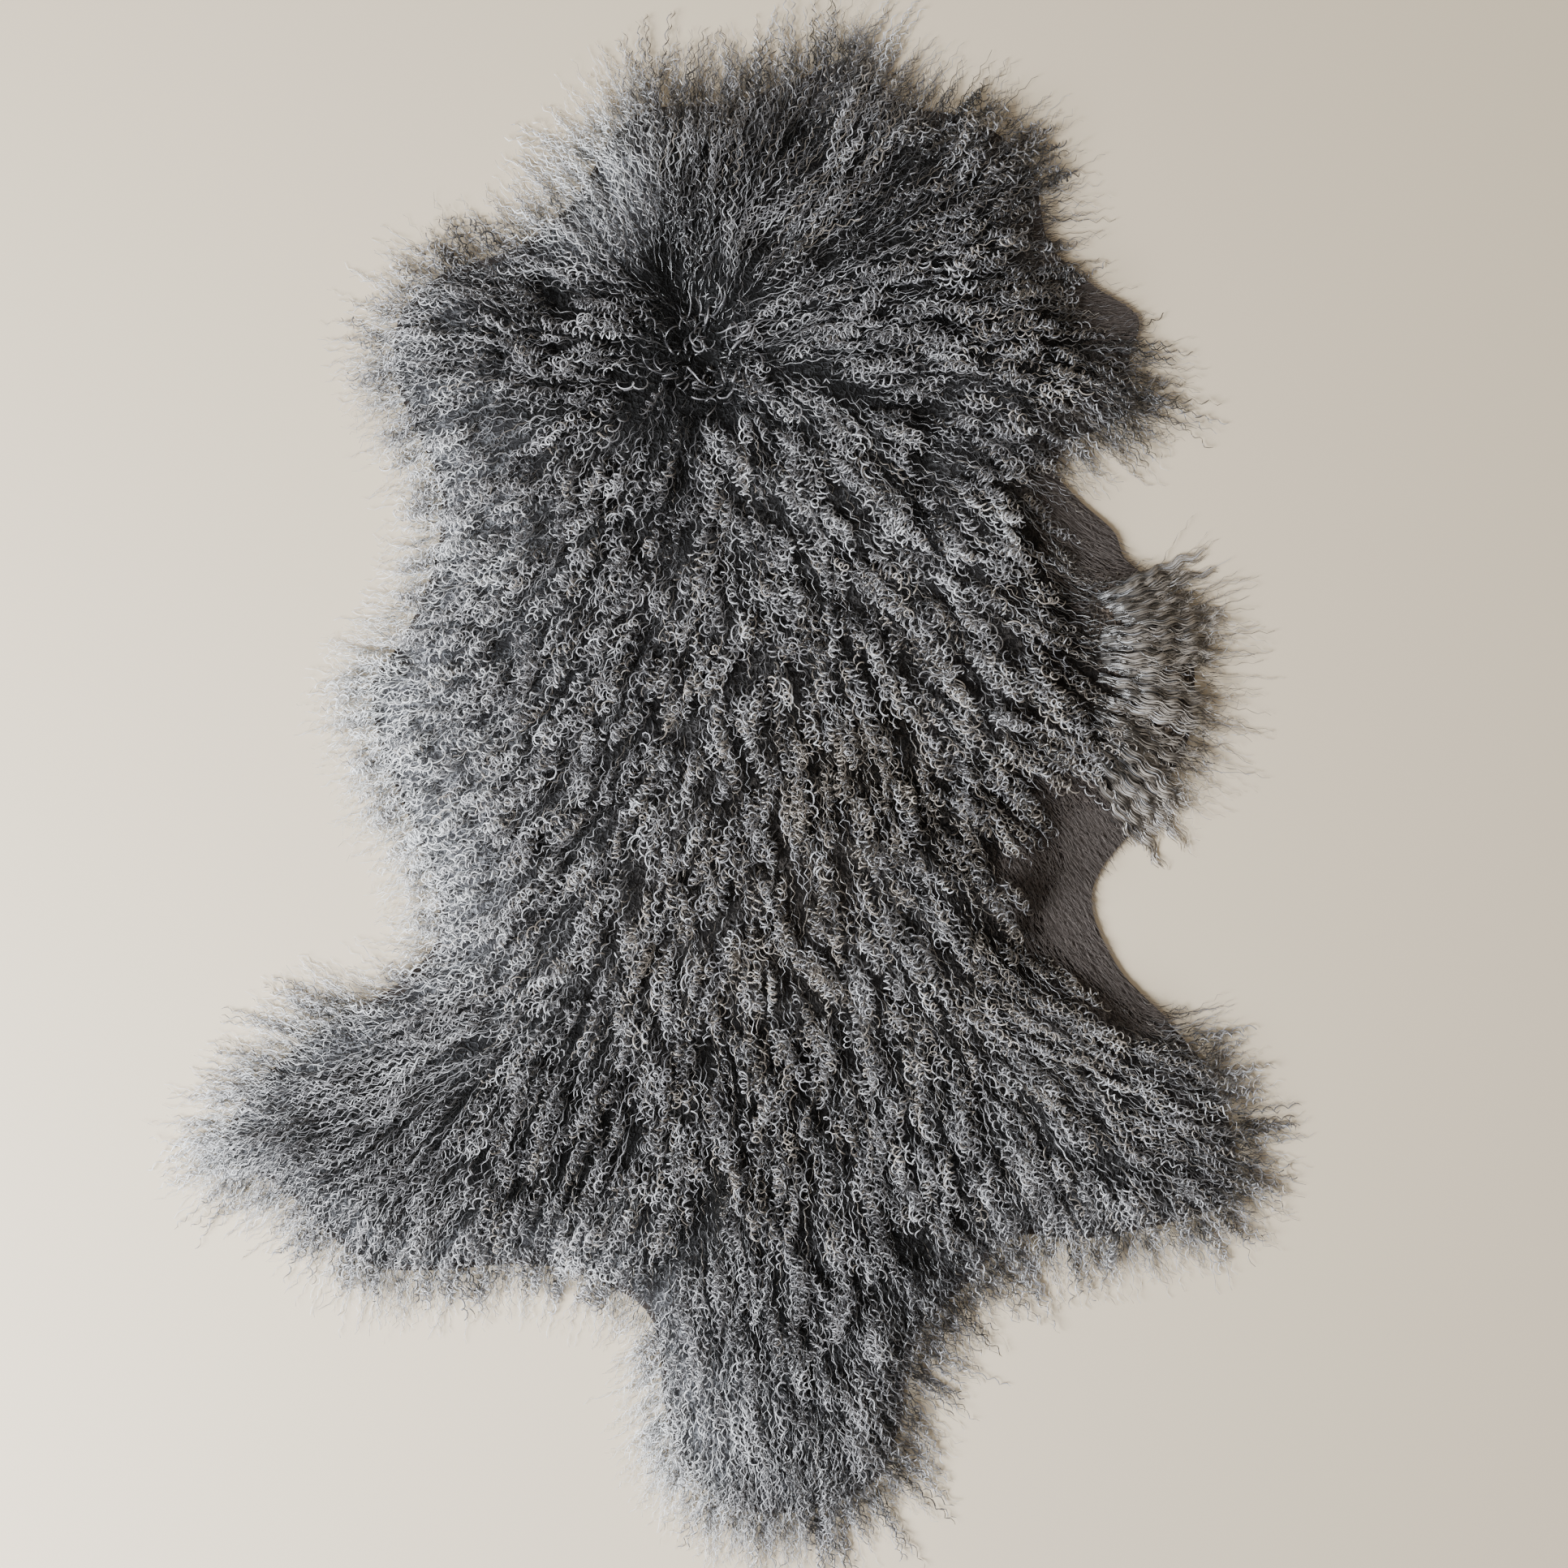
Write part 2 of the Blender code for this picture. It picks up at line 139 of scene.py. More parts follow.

# %% The comb: place, across, along, way it is combed, curliness, paleness with painted window light on the left, brownness
COMB = [
    ("whorl top", -14, 330, 78, 0.40, 0.30, 0.0),
    ("whorl left", -58, 292, 165, 0.80, 0.38, 0.0),
    ("whorl right", 28, 288, 18, 0.65, 0.44, 0.0),
    ("whorl under", -22, 238, 262, 0.85, 0.38, 0.0),
    ("whorl under right", 18, 248, -50, 0.90, 0.48, 0.0),
    ("neck left", -75, 375, 118, 0.34, 0.84, 0.0),
    ("neck middle", -12, 400, 80, 0.36, 0.38, 0.2),
    ("neck right of middle", 40, 360, 44, 0.52, 0.41, 0.2),
    ("neck tip", 80, 440, 54, 0.48, 0.42, 0.2),
    ("neck right", 150, 405, 38, 0.74, 0.34, 0.3),
    ("left shoulder", -140, 325, 152, 0.60, 0.42, 0.0),
    ("left foreleg", -198, 275, 180, 0.55, 0.50, 0.0),
    ("left armpit", -177, 225, 205, 0.75, 0.68, 0.0),
    ("left chest", -104, 270, 180, 0.90, 0.38, 0.1),
    ("right shoulder", 95, 300, 10, 0.90, 0.41, 0.0),
    ("right shoulder edge", 180, 297, 8, 0.85, 0.36, 0.4),
    ("right foreleg bare", 240, 310, 5, 0.50, 0.23, 0.3),
    ("right foreleg", 246, 250, -24, 0.45, 0.27, 0.5),
    ("right armpit", 160, 240, -14, 0.95, 0.48, 0.1),
    ("flank lobe bare", 228, 172, -40, 0.60, 0.28, 0.6),
    ("back top left", -70, 190, 238, 0.95, 0.43, 0.1),
    ("back top", -12, 205, 266, 1.00, 0.48, 0.1),
    ("back top right", 60, 190, -60, 1.00, 0.50, 0.1),
    ("right chest", 140, 165, -42, 1.00, 0.54, 0.1),
    ("left flank top", -172, 162, 208, 0.80, 0.66, 0.0),
    ("left tuft", -215, 70, 192, 0.60, 0.86, 0.0),
    ("left flank", -140, 85, 222, 0.90, 0.53, 0.0),
    ("back left", -70, 80, 242, 1.00, 0.46, 0.1),
    ("back", -8, 65, 265, 1.00, 0.46, 0.2),
    ("back right", 70, 85, -70, 1.00, 0.46, 0.2),
    ("brown streak", 84, 25, -76, 0.90, 0.38, 0.8),
    ("right flank", 150, 60, -50, 1.00, 0.52, 0.2),
    ("right tuft top", 268, 118, 8, 0.05, 0.52, 0.9),
    ("right tuft", 276, 66, -8, 0.05, 0.52, 0.9),
    ("right tuft low", 262, 14, -34, 0.05, 0.50, 0.9),
    ("right tuft root", 206, 40, -34, 0.85, 0.44, 0.5),
    ("bare strip top", 226, -30, -56, 0.60, 0.28, 0.7),
    ("bare strip", 210, -78, -62, 0.60, 0.28, 0.7),
    ("bare strip foot", 240, -116, -50, 0.60, 0.28, 0.7),
    ("beside the bare strip", 172, -55, -62, 0.90, 0.38, 0.5),
    ("left loin", -178, -50, 206, 0.75, 0.82, 0.0),
    ("loin", -105, -45, 230, 0.90, 0.46, 0.1),
    ("loin middle", -30, -65, 254, 0.95, 0.46, 0.3),
    ("loin right", 50, -75, -82, 0.95, 0.47, 0.5),
    ("loin far right", 115, -85, -68, 0.95, 0.50, 0.2),
    ("left hind leg root", -200, -150, 202, 0.48, 0.48, 0.0),
    ("left hind leg edge", -262, -146, 186, 0.42, 0.66, 0.0),
    ("left hind leg", -245, -198, 198, 0.40, 0.32, 0.0),
    ("left hind leg end", -310, -228, 202, 0.42, 0.58, 0.0),
    ("left thigh", -195, -238, 222, 0.46, 0.35, 0.0),
    ("left thigh under", -205, -295, 246, 0.75, 0.52, 0.0),
    ("left rump", -115, -230, 246, 0.85, 0.36, 0.1),
    ("left rump under", -105, -300, 258, 0.85, 0.53, 0.0),
    ("right hind leg root", 215, -155, -36, 0.66, 0.54, 0.3),
    ("right hind leg", 285, -195, -26, 0.66, 0.48, 0.2),
    ("right hind leg end", 305, -255, -40, 0.66, 0.44, 0.2),
    ("right thigh", 210, -240, -62, 0.75, 0.48, 0.1),
    ("right thigh under", 235, -290, -72, 0.64, 0.44, 0.1),
    ("rump", 30, -210, -90, 0.90, 0.40, 0.3),
    ("rump right", 120, -220, -76, 0.85, 0.44, 0.1),
    ("right crotch", 165, -300, -62, 0.50, 0.38, 0.1),
    ("tail root", 30, -330, -90, 0.72, 0.42, 0.0),
    ("tail left", -38, -400, 264, 0.58, 0.68, 0.0),
    ("tail right", 100, -400, -70, 0.50, 0.44, 0.0),
    ("tail end", 35, -450, -87, 0.50, 0.48, 0.0),
]
print("comb rows:", len(COMB))

# %% The partings: place, from, to, half width, how strong: how dark their painted shade is and how few locks grow there
PARTINGS = [
    ("whorl", -36, 350, -10, 255, 15, 1.0),
    ("whorl below", -14, 262, -40, 240, 14, 0.9),
    ("back left", -22, 245, -34, 165, 9, 0.8),
    ("back right", 124, 250, 118, 165, 10, 0.9),
    ("right tuft", 208, 128, 226, 76, 14, 1.0),
    ("neck right", 60, 345, 150, 440, 10, 0.8),
    ("neck middle", 18, 355, 62, 455, 10, 0.9),
    ("neck under", 40, 322, 130, 372, 7, 0.7),
    ("left shoulder", -170, 345, -95, 300, 11, 0.6),
    ("left foreleg", -215, 240, -130, 240, 11, 0.6),
    ("tail left", -60, -320, -5, -250, 12, 0.7),
    ("tail right", 150, -330, 95, -260, 12, 0.8),
]
print("partings:", len(PARTINGS))

# %% The bare patches, with only short hair: place, from, to, half width
BARE = [
    ("strip", 222, -10, 200, -58, 31),
    ("strip foot", 204, -60, 244, -122, 24),
    ("flank lobe", 224, 190, 238, 152, 19),
    ("right foreleg", 238, 318, 262, 290, 14),
]
print("bare patches:", len(BARE))

# %% [markdown]
# ## The rim of the hide
#
# A smooth closed curve runs through the outline's rows. Where there is wool, the hide's cut
# edge lies a little inside the wool's edge, so the curve is moved in there. Hermite spans,
# each taking its slope from the rows on both sides, give a soft line with no tool but numpy.

# %% The rim's curve
RIM_INSET = 9.0
FULL_REACH = 15.0
SPAN_SAMPLES = 12


def closed_curve(rows, samples):
    """A smooth closed curve through rows of values."""
    after = np.roll(rows, -1, axis=0)
    slope = (after - np.roll(rows, 1, axis=0)) / 2
    next_slope = np.roll(slope, -1, axis=0)
    steps = []
    for t in np.arange(samples) / samples:
        here = (1 + 2 * t) * (1 - t) ** 2 * rows
        leaving = t * (1 - t) ** 2 * slope
        there = t * t * (3 - 2 * t) * after
        arriving = t * t * (t - 1) * next_slope
        steps.append(here + leaving + there + arriving)
    return np.stack(steps, axis=1).reshape(-1, rows.shape[1])


def hide_rim():
    """The hide's cut edge, and how far the wool reaches past it."""
    rows = np.array([row[1:] for row in RIM], float)
    rows[:, :2] -= MIDDLE
    curve = closed_curve(rows, SPAN_SAMPLES)
    run = np.roll(curve[:, :2], -1, axis=0) - np.roll(curve[:, :2], 1, axis=0)
    outward = np.stack([-run[:, 1], run[:, 0]], axis=1) / np.hypot(*run.T)[:, None]
    wool = np.clip(curve[:, 2] / FULL_REACH, 0, 1)
    curve[:, :2] -= outward * (RIM_INSET * wool)[:, None]
    return curve


rim = hide_rim()
run = np.roll(rim[:, :2], -1, axis=0) - np.roll(rim[:, :2], 1, axis=0)
rim_outward = np.stack([-run[:, 1], run[:, 0]], axis=1) / np.hypot(*run.T)[:, None]
print("rim points:", len(rim))

# %% [markdown]
# ## Fields
#
# Thousands of curls will ask the same questions: how high is the wool here, which way is it
# combed, how far is the rim? Answering once on a grid and reading between its points keeps the
# script quick. The height comes from the solid itself, by dropping a ray at each grid point.

# %% The grid and how to read from it
GRID_STEP = 4.0
GRID_ACROSS = np.arange(-420, 421, GRID_STEP)
GRID_ALONG = np.arange(-560, 561, GRID_STEP)
grid_x, grid_y = np.meshgrid(GRID_ACROSS, GRID_ALONG)
grid_points = np.stack([grid_x.ravel(), grid_y.ravel()], axis=1)


def on_grid(values):
    """Values for every grid point, shaped as rows of the grid."""
    return values.reshape(grid_x.shape + values.shape[1:])


def read(field, points):
    """The field between its grid points, at any number of places."""
    x = np.clip((points[..., 0] - GRID_ACROSS[0]) / GRID_STEP, 0, len(GRID_ACROSS) - 1.001)
    y = np.clip((points[..., 1] - GRID_ALONG[0]) / GRID_STEP, 0, len(GRID_ALONG) - 1.001)
    column, row = x.astype(int), y.astype(int)
    right, up = x - column, y - row
    if field.ndim == 3:
        right, up = right[..., None], up[..., None]
    low = field[row, column] * (1 - right) + field[row, column + 1] * right
    high = field[row + 1, column] * (1 - right) + field[row + 1, column + 1] * right
    return low * (1 - up) + high * up


print("grid:", grid_x.shape)

# %% How far the rim is, and which way is out
def is_inside(points, loop):
    """Whether each point lies inside the closed loop."""
    inside = np.zeros(len(points), bool)
    for (ax, ay), (bx, by) in zip(loop, np.roll(loop, -1, axis=0)):
        if ay == by:
            continue
        spans = (ay > points[:, 1]) != (by > points[:, 1])
        inside ^= spans & (points[:, 0] < ax + (points[:, 1] - ay) * (bx - ax) / (by - ay))
    return inside


def rim_distance(points):
    """How far each point is from the rim, and the nearest of the rim's rows."""
    nearest = np.empty(len(points), int)
    for part in np.array_split(np.arange(len(points)), max(1, len(points) // 4000)):
        away = ((points[part, None] - rim[None, :, :2]) ** 2).sum(axis=2)
        nearest[part] = away.argmin(axis=1)
    return np.hypot(*(points - rim[nearest, :2]).T), nearest


distance, nearest_rim = rim_distance(grid_points)
inside = is_inside(grid_points, rim[:, :2])
edge = on_grid(np.where(inside, distance, -distance))
reach = on_grid(rim[nearest_rim, 2])
slope_along, slope_across = np.gradient(edge, GRID_STEP)
outward = -np.stack([slope_across, slope_along], axis=2)
outward /= np.maximum(np.hypot(outward[..., 0], outward[..., 1]), 0.05)[..., None]
print("deepest point inside the rim, mm:", round(edge.max()))

# %% The comb, read between its rows
COMB_SOFTNESS = 14.0
comb_rows = np.array([row[1:] for row in COMB], float)
away = ((grid_points[:, None] - (comb_rows[:, :2] - MIDDLE)[None]) ** 2).sum(axis=2)
share = 1 / (away + COMB_SOFTNESS**2) ** 2
share /= share.sum(axis=1, keepdims=True)
turn = np.radians(comb_rows[:, 2])
way = share @ np.stack([np.cos(turn), np.sin(turn)], axis=1)
way = on_grid(way / np.hypot(way[:, 0], way[:, 1])[:, None])
# The paleness field holds the wool's tone, and painted window light on the left side.
curliness, paleness_and_painted_light, brownness = (on_grid(share @ comb_rows[:, c]) for c in (3, 4, 5))
print("curliness from", round(curliness.min(), 2), "to", round(curliness.max(), 2))


# %% How close each place is to a parting or a bare patch
def line_closeness(points, rows):
    """From 0, far off, to each row's own strength on its line. Left out, the strength is 1."""
    closeness = np.zeros(len(points))
    for _, ax, ay, bx, by, half_width, *strength in rows:
        start = np.array([ax, ay]) - MIDDLE
        run = np.array([bx - ax, by - ay], float)
        place = np.clip((points - start) @ run / (run @ run), 0, 1)
        away = np.hypot(*(points - start - place[:, None] * run).T)
        fall = np.exp(-((away / half_width) ** 2))
        closeness = np.maximum(closeness, fall * (strength[0] if strength else 1.0))
    return closeness


parted = on_grid(line_closeness(grid_points, PARTINGS))
bare = on_grid(line_closeness(grid_points, BARE))
print("share of the skin in partings:", round(float((parted[edge > 0] > 0.5).mean()), 3))

# %% The wool's height, from the solid
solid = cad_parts["pelt"]
solid_tree = BVHTree.FromObject(solid, bpy.context.evaluated_depsgraph_get())
RAY_START = 0.2
DOWN = Vector((0, 0, -1))


def solid_height(points):
    """The height of the solid's top in millimetres, or 0 beside it."""
    heights = np.zeros(len(points))
    for i, (x, y) in enumerate(points):
        hit = solid_tree.ray_cast(Vector((x * MM, y * MM, RAY_START)), DOWN)
        if hit[0] is not None:
            heights[i] = hit[0].z / MM
    return heights


top = on_grid(solid_height(grid_points))
print("solid's top, mm:", round(top.max(), 1))

# %% Where the wool stands above the wool around it, for painted light on the high wool
RELIEF_REACH = 7
RELIEF_FADE = 30.0
window = np.hanning(RELIEF_REACH + 2)[1:-1]
window /= window.sum()
around = top
for axis in (0, 1, 0, 1):
    around = np.apply_along_axis(np.convolve, axis, around, window, mode="same")
relief = (top - around) * np.clip(edge / RELIEF_FADE, 0, 1)
print("relief, mm, from", round(relief.min(), 1), "to", round(relief.max(), 1))

# %% [markdown]
# ## Materials
#
# Shader maths reads best as sums and products. `Wire` wraps one socket, so that `1 - mask`
# adds a Math node by itself. `Finish` makes a material, and its one `node` method adds any
# other node: the settings go in first, then the values and links of its sockets.

# %% Wires and finishes
class Wire:
    """A number that runs through a material."""

    def __init__(self, finish, socket):
        self.finish = finish
        self.socket = socket

    def _maths(self, operation, first, second):
        return self.finish.node("ShaderNodeMath", {"operation": operation}, {0: first, 1: second})

    def __add__(self, other):
        return self._maths("ADD", self, other)

    def __radd__(self, other):
        return self._maths("ADD", other, self)

    def __sub__(self, other):
        return self._maths("SUBTRACT", self, other)

    def __rsub__(self, other):
        return self._maths("SUBTRACT", other, self)

    def __mul__(self, other):
        return self._maths("MULTIPLY", self, other)

    def __rmul__(self, other):
        return self._maths("MULTIPLY", other, self)


class Finish:
    """A material under construction, with its Principled shader."""

    def __init__(self, name, roughness, **constants):
        self.material = bpy.data.materials.new(name)
        self.material.use_nodes = True
        self.tree = self.material.node_tree
        self.shader = self.tree.nodes["Principled BSDF"]
        self.shader.inputs["Roughness"].default_value = roughness
        for socket, value in constants.items():
            self.shader.inputs[socket.replace("_", " ")].default_value = value

    def node(self, kind, settings=None, values=None, output=0):
        """Adds a node: its settings first, then its sockets, by name or number."""
        made = self.tree.nodes.new(kind)
        for setting, value in (settings or {}).items():
            if setting == "stops":
                self._set_stops(made.color_ramp, value)
            else:
                setattr(made, setting, value)
        for socket, value in (values or {}).items():
            self.join(value, made.inputs[socket])
        return Wire(self, made.outputs[output])

    def _set_stops(self, ramp, stops):
        while len(ramp.elements) < len(stops):
            ramp.elements.new(1.0)
        for element, (place, colour) in zip(ramp.elements, stops):
            element.position = place
            element.color = (*colour, 1.0)

    def join(self, value, socket):
        """Links a wire to a socket, or sets the socket's own value."""
        if isinstance(value, Wire):
            self.tree.links.new(value.socket, socket)
        else:
            socket.default_value = value

    def mix(self, factor, first, second, blend="MIX"):
        """A colour between two others."""
        settings = {"data_type": "RGBA", "blend_type": blend}
        return self.node("ShaderNodeMix", settings, {0: factor, 6: first, 7: second}, output=2)

    def set(self, socket, wire):
        """Feeds one of the shader's own sockets."""
        self.join(wire, self.shader.inputs[socket])


print("shader words ready")

# %% [markdown]
# ## The wool's colours
#
# One material serves every strand. Its colour depends only on the strand's UV map, which works
# as a dyer's card: along U from root to tip, and up V in rows of tint, each row running from
# one side of the strand to the other. Roots are painted nearly black, as painted shade for the
# depth of the fleece, and the sides are painted a little darker than the middle, as painted
# shade that makes a flat strand look round.

# %% The dyer's card
CARD = "OFBake"
GREY_TINTS = [
    (0.019, 0.018, 0.019),
    (0.042, 0.040, 0.043),
    (0.078, 0.075, 0.080),
    (0.135, 0.131, 0.138),
    (0.215, 0.209, 0.220),
    (0.325, 0.318, 0.332),
    (0.460, 0.454, 0.470),
    (0.610, 0.608, 0.625),
    (0.760, 0.765, 0.785),
    (0.880, 0.890, 0.905),
]
BROWN_TINTS = [
    (0.034, 0.028, 0.023),
    (0.072, 0.060, 0.050),
    (0.130, 0.110, 0.092),
    (0.220, 0.190, 0.162),
    (0.350, 0.308, 0.268),
    (0.520, 0.468, 0.415),
]
TINTS = GREY_TINTS + BROWN_TINTS
SIDE_MARGIN = 0.1


def card_row(rows):
    """V at one side and at the other of strands in these rows of the card."""
    low = (rows + SIDE_MARGIN) / len(TINTS)
    high = (rows + 1 - SIDE_MARGIN) / len(TINTS)
    return low, high


def make_wool():
    wool = Finish("wool", 0.30, Specular_IOR_Level=1.0, Sheen_Weight=0.08, Sheen_Roughness=0.4)
    card = wool.node("ShaderNodeUVMap", {"uv_map": CARD})
    along = wool.node("ShaderNodeSeparateXYZ", None, {0: card})
    up = wool.node("ShaderNodeSeparateXYZ", None, {0: card}, output=1)
    stops = [(i / len(TINTS), colour) for i, colour in enumerate(TINTS)]
    tint = wool.node("ShaderNodeValToRGB", {"stops": stops}, {0: up})
    tint.socket.node.color_ramp.interpolation = "CONSTANT"
    across = wool.node("ShaderNodeMath", {"operation": "FRACT"}, {0: up * len(TINTS)})
    # Painted shade: the strand's sides are painted darker than its middle, so that the flat ribbon looks
    # round.
    off_middle = 2 * across - 1
    round_painted_shade = 1 - off_middle * off_middle * 0.45
    # Painted shade: roots are painted nearly black, for the shade in the depth of the fleece.
    root_stops = [(0.0, (0.06,) * 3), (0.22, (0.25,) * 3), (0.5, (0.85,) * 3), (0.85, (1.0,) * 3)]
    root_painted_shade = wool.node("ShaderNodeValToRGB", {"stops": root_stops}, {0: along})
    # shade multiplies both painted shades.
    shade = wool.mix(1.0, root_painted_shade, round_painted_shade, "MULTIPLY")
    wool.set("Base Color", wool.mix(1.0, tint, shade, "MULTIPLY"))
    return wool.material


wool_material = make_wool()
print("tints:", len(TINTS))

# %% [markdown]
# ## Strands
#
# A curl is a coil wound on a path that leaves the hide, bends over with the comb and lies on
# the wool below. Four small steps make it: walk the paths over the comb field, lift them off
# the wool, wind a coil round them, and sweep a narrow ribbon along the coil. Each step works on
# all the strands at once. The ribbon faces partly up and partly out of its coil, so it shows
# its width from above and from the sides.

# %% Walking with the comb
RIM_PULL = 26.0
PULL_STRENGTH = 1.1


def turned(direction, angle):
    """Directions turned anticlockwise by the angles, in radians."""
    cosine, sine = np.cos(angle), np.sin(angle)
    x, y = direction[..., 0], direction[..., 1]
    return np.stack([x * cosine - y * sine, x * sine + y * cosine], axis=-1)


def combed_way(points):
    """The way wool goes at these points: along the comb, and outward near the rim."""
    near = np.clip(1 - read(edge, points) / RIM_PULL, 0, 1) * PULL_STRENGTH
    near = near * np.clip(read(reach, points) / FULL_REACH, 0, 1)
    mixed = read(way, points) + read(outward, points) * near[..., None]
    return mixed / np.maximum(np.hypot(mixed[..., 0], mixed[..., 1]), 0.05)[..., None]


def walk(roots, angle, length, samples, speed=None):
    """Flat paths from the roots, each turned off the comb by its angle."""
    step = np.repeat((length / (samples - 1))[:, None], samples - 1, axis=1)
    if speed is not None:
        step = step * speed[:, 1:]
    path = [roots]
    for i in range(samples - 1):
        heading = turned(combed_way(path[-1]), angle)
        path.append(path[-1] + heading * step[:, i : i + 1])
    return np.stack(path, axis=1)


# %% Lifting the paths off the wool below
HIDE_TOP = 2.3
COAT_SHARE = 0.60
coat = np.where(top > 0, HIDE_TOP + np.maximum(top - HIDE_TOP, 0) * COAT_SHARE, 0)
FULL_LIFT_DEPTH = 22.0
LOWEST_LIFT = 0.35


def lifted(path, lift, room):
    """Paths in space: over the undercoat by the lift, and never below the floor."""
    base = read(coat, path)
    scale = np.clip(read(top, path) / FULL_LIFT_DEPTH, LOWEST_LIFT, 1)
    height = np.maximum(base + lift * scale, room)
    return np.concatenate([path, height[..., None]], axis=2)


# %% Winding coils and sweeping ribbons
def unit(vectors):
    """Vectors made one long."""
    return vectors / np.maximum(np.linalg.norm(vectors, axis=-1, keepdims=True), 1e-9)


WAVE_RISE = 0.35


def wound(axis, radius, phase, rise=WAVE_RISE, along=0.0):
    """Coils along the paths, and the way out of the coil at each of their points.

    All coils swing from side to side. Rise is their share of swing upward and along their
    share of swing ahead. With much of the last the loops lie flat, and are rings from above.
    """
    ahead = unit(np.gradient(axis, axis=1))
    side = unit(np.cross(ahead, (0.0, 0.0, 1.0)))
    over = np.cross(side, ahead)
    rise, along = (np.reshape(share, (-1, 1, 1)) for share in (rise, along))
    swing = over * rise + ahead * along
    out = side * np.cos(phase)[..., None] + swing * np.sin(phase)[..., None]
    return axis + out * radius[..., None], unit(out)


FARTHEST = np.array([380.0, 524.0])
UP_SHARE, OUT_SHARE, STRAY_SHARE = 0.65, 0.6, 0.35
SIDE_NORMAL = 0.9


def ribbons(name, path, out, width, rows, random):
    """One mesh of ribbons along the paths, with its colours on the dyer's card.

    A strand that strays past the farthest place across or along is left out.
    """
    stays = np.all(np.abs(path[..., :2]) < FARTHEST, axis=(1, 2))
    path, out, rows = path[stays], out[stays], rows[stays]
    width = np.broadcast_to(width, (len(stays), path.shape[1]))[stays]
    count, samples = path.shape[:2]
    ahead = unit(np.gradient(path, axis=1))
    stray = random.normal(size=(count, 1, 3)) * STRAY_SHARE
    face = unit(np.array((0.0, 0.0, UP_SHARE)) + out * OUT_SHARE + stray)
    side = unit(np.cross(ahead, face))
    normal = np.cross(side, ahead)
    half = side * width[..., None] / 2
    points = np.stack([path - half, path + half], axis=2)
    points[..., 2] = np.maximum(points[..., 2], 0.05)
    normals = np.stack([normal - side * SIDE_NORMAL, normal + side * SIDE_NORMAL], axis=2)
    first = np.arange(count * samples * 2).reshape(count, samples, 2)
    quads = np.stack(
        [first[:, :-1, 0], first[:, :-1, 1], first[:, 1:, 1], first[:, 1:, 0]], axis=-1
    ).reshape(-1, 4)
    low, high = card_row(rows)
    u = np.broadcast_to(np.linspace(0.01, 0.99, samples)[None, :, None], (count, samples, 2))
    v = np.broadcast_to(np.stack([low, high], axis=1)[:, None], (count, samples, 2))
    card = np.stack([u, v], axis=-1).reshape(-1, 2)
    return mesh_piece(name, points.reshape(-1, 3), quads, card, unit(normals).reshape(-1, 3))


def mesh_piece(name, points, faces, card, normals):
    """A mesh from arrays, with its card map and its own shading normals."""
    mesh = bpy.data.meshes.new(name)
    mesh.vertices.add(len(points))
    mesh.vertices.foreach_set("co", (points * MM).astype(np.float32).ravel())
    mesh.loops.add(faces.size)
    mesh.loops.foreach_set("vertex_index", faces.astype(np.int32).ravel())
    mesh.polygons.add(len(faces))
    mesh.polygons.foreach_set("loop_start", np.arange(0, faces.size, 4, dtype=np.int32))
    mesh.update(calc_edges=True)
    layer = mesh.uv_layers.new(name=CARD)
    layer.uv.foreach_set("vector", card[faces.ravel()].astype(np.float32).ravel())
    mesh.shade_smooth()
    mesh.normals_split_custom_set_from_vertices(normals.astype(np.float32))
    mesh.materials.append(wool_material)
    piece = bpy.data.objects.new(name, mesh)
    bpy.context.scene.collection.objects.link(piece)
    print(name, "has", len(faces) * 2, "triangles")
    return piece


# %% [markdown]
# ## Curly locks
#
# The fleece is made of small locks: seven curls that grow together, share their hand and
# nearly their phase, and lean towards each other as they go, so that dark gaps open between
# the locks. Curliness decides the kind of curl. On the back the last turns of many curls stand
# up, and from above they are rings. On the legs they lie down as ropes, and on the neck and
# the right side they are long and no more than waved.

# %% Where the locks grow
LOCK_SPACING = 17.0
CURLS_A_LOCK = 7
WOOLLY_DEPTH = 8.0
locks_random = np.random.default_rng(5)


def lattice(spacing, random, jitter):
    """Loosely staggered points over the grid's whole area."""
    rows = np.arange(GRID_ALONG[0], GRID_ALONG[-1], spacing * math.sqrt(3) / 2)
    columns = np.arange(GRID_ACROSS[0], GRID_ACROSS[-1], spacing)
    x, y = np.meshgrid(columns, rows)
    x[1::2] += spacing / 2
    points = np.stack([x.ravel(), y.ravel()], axis=1)
    return points + random.uniform(-jitter, jitter, points.shape) * spacing


lock_places = lattice(LOCK_SPACING, locks_random, 0.42)
woolly = (read(edge, lock_places) > 3) & (read(top, lock_places) > WOOLLY_DEPTH)
woolly &= locks_random.random(len(lock_places)) > 0.7 * read(parted, lock_places)
woolly &= read(curliness, lock_places) > 0.2
woolly &= locks_random.random(len(lock_places)) > 1.6 * read(bare, lock_places)
lock_places = lock_places[woolly]
print("locks:", len(lock_places), "curls:", len(lock_places) * CURLS_A_LOCK)

# %% The card row of a strand
# Painted light on wool that stands high, and painted shade in partings, shift each strand's card row.
RELIEF_PAINTED_LIGHT = 0.022
PARTING_PAINTED_SHADE = 0.34
STRAND_VARIETY = 0.11


def tint_rows(points, lighter, random, variety=STRAND_VARIETY):
    """The card row of each strand: by its place, with painted light where the wool stands high and painted
    shade in partings, a shift of its lock's and a little chance.
    """
    # Painted light where the wool stands high, painted shade in the partings.
    level = read(paleness_and_painted_light, points) + read(relief, points) * RELIEF_PAINTED_LIGHT + lighter
    level = level - PARTING_PAINTED_SHADE * read(parted, points)
    level = level + random.normal(0, variety, len(points))
    brown = random.random(len(points)) < read(brownness, points)
    grey_row = np.clip(np.round(level * len(GREY_TINTS)), 0, len(GREY_TINTS) - 1)
    brown_row = np.clip(np.round(level * 9 - 1), 0, len(BROWN_TINTS) - 1) + len(GREY_TINTS)
    return np.where(brown, brown_row, grey_row)


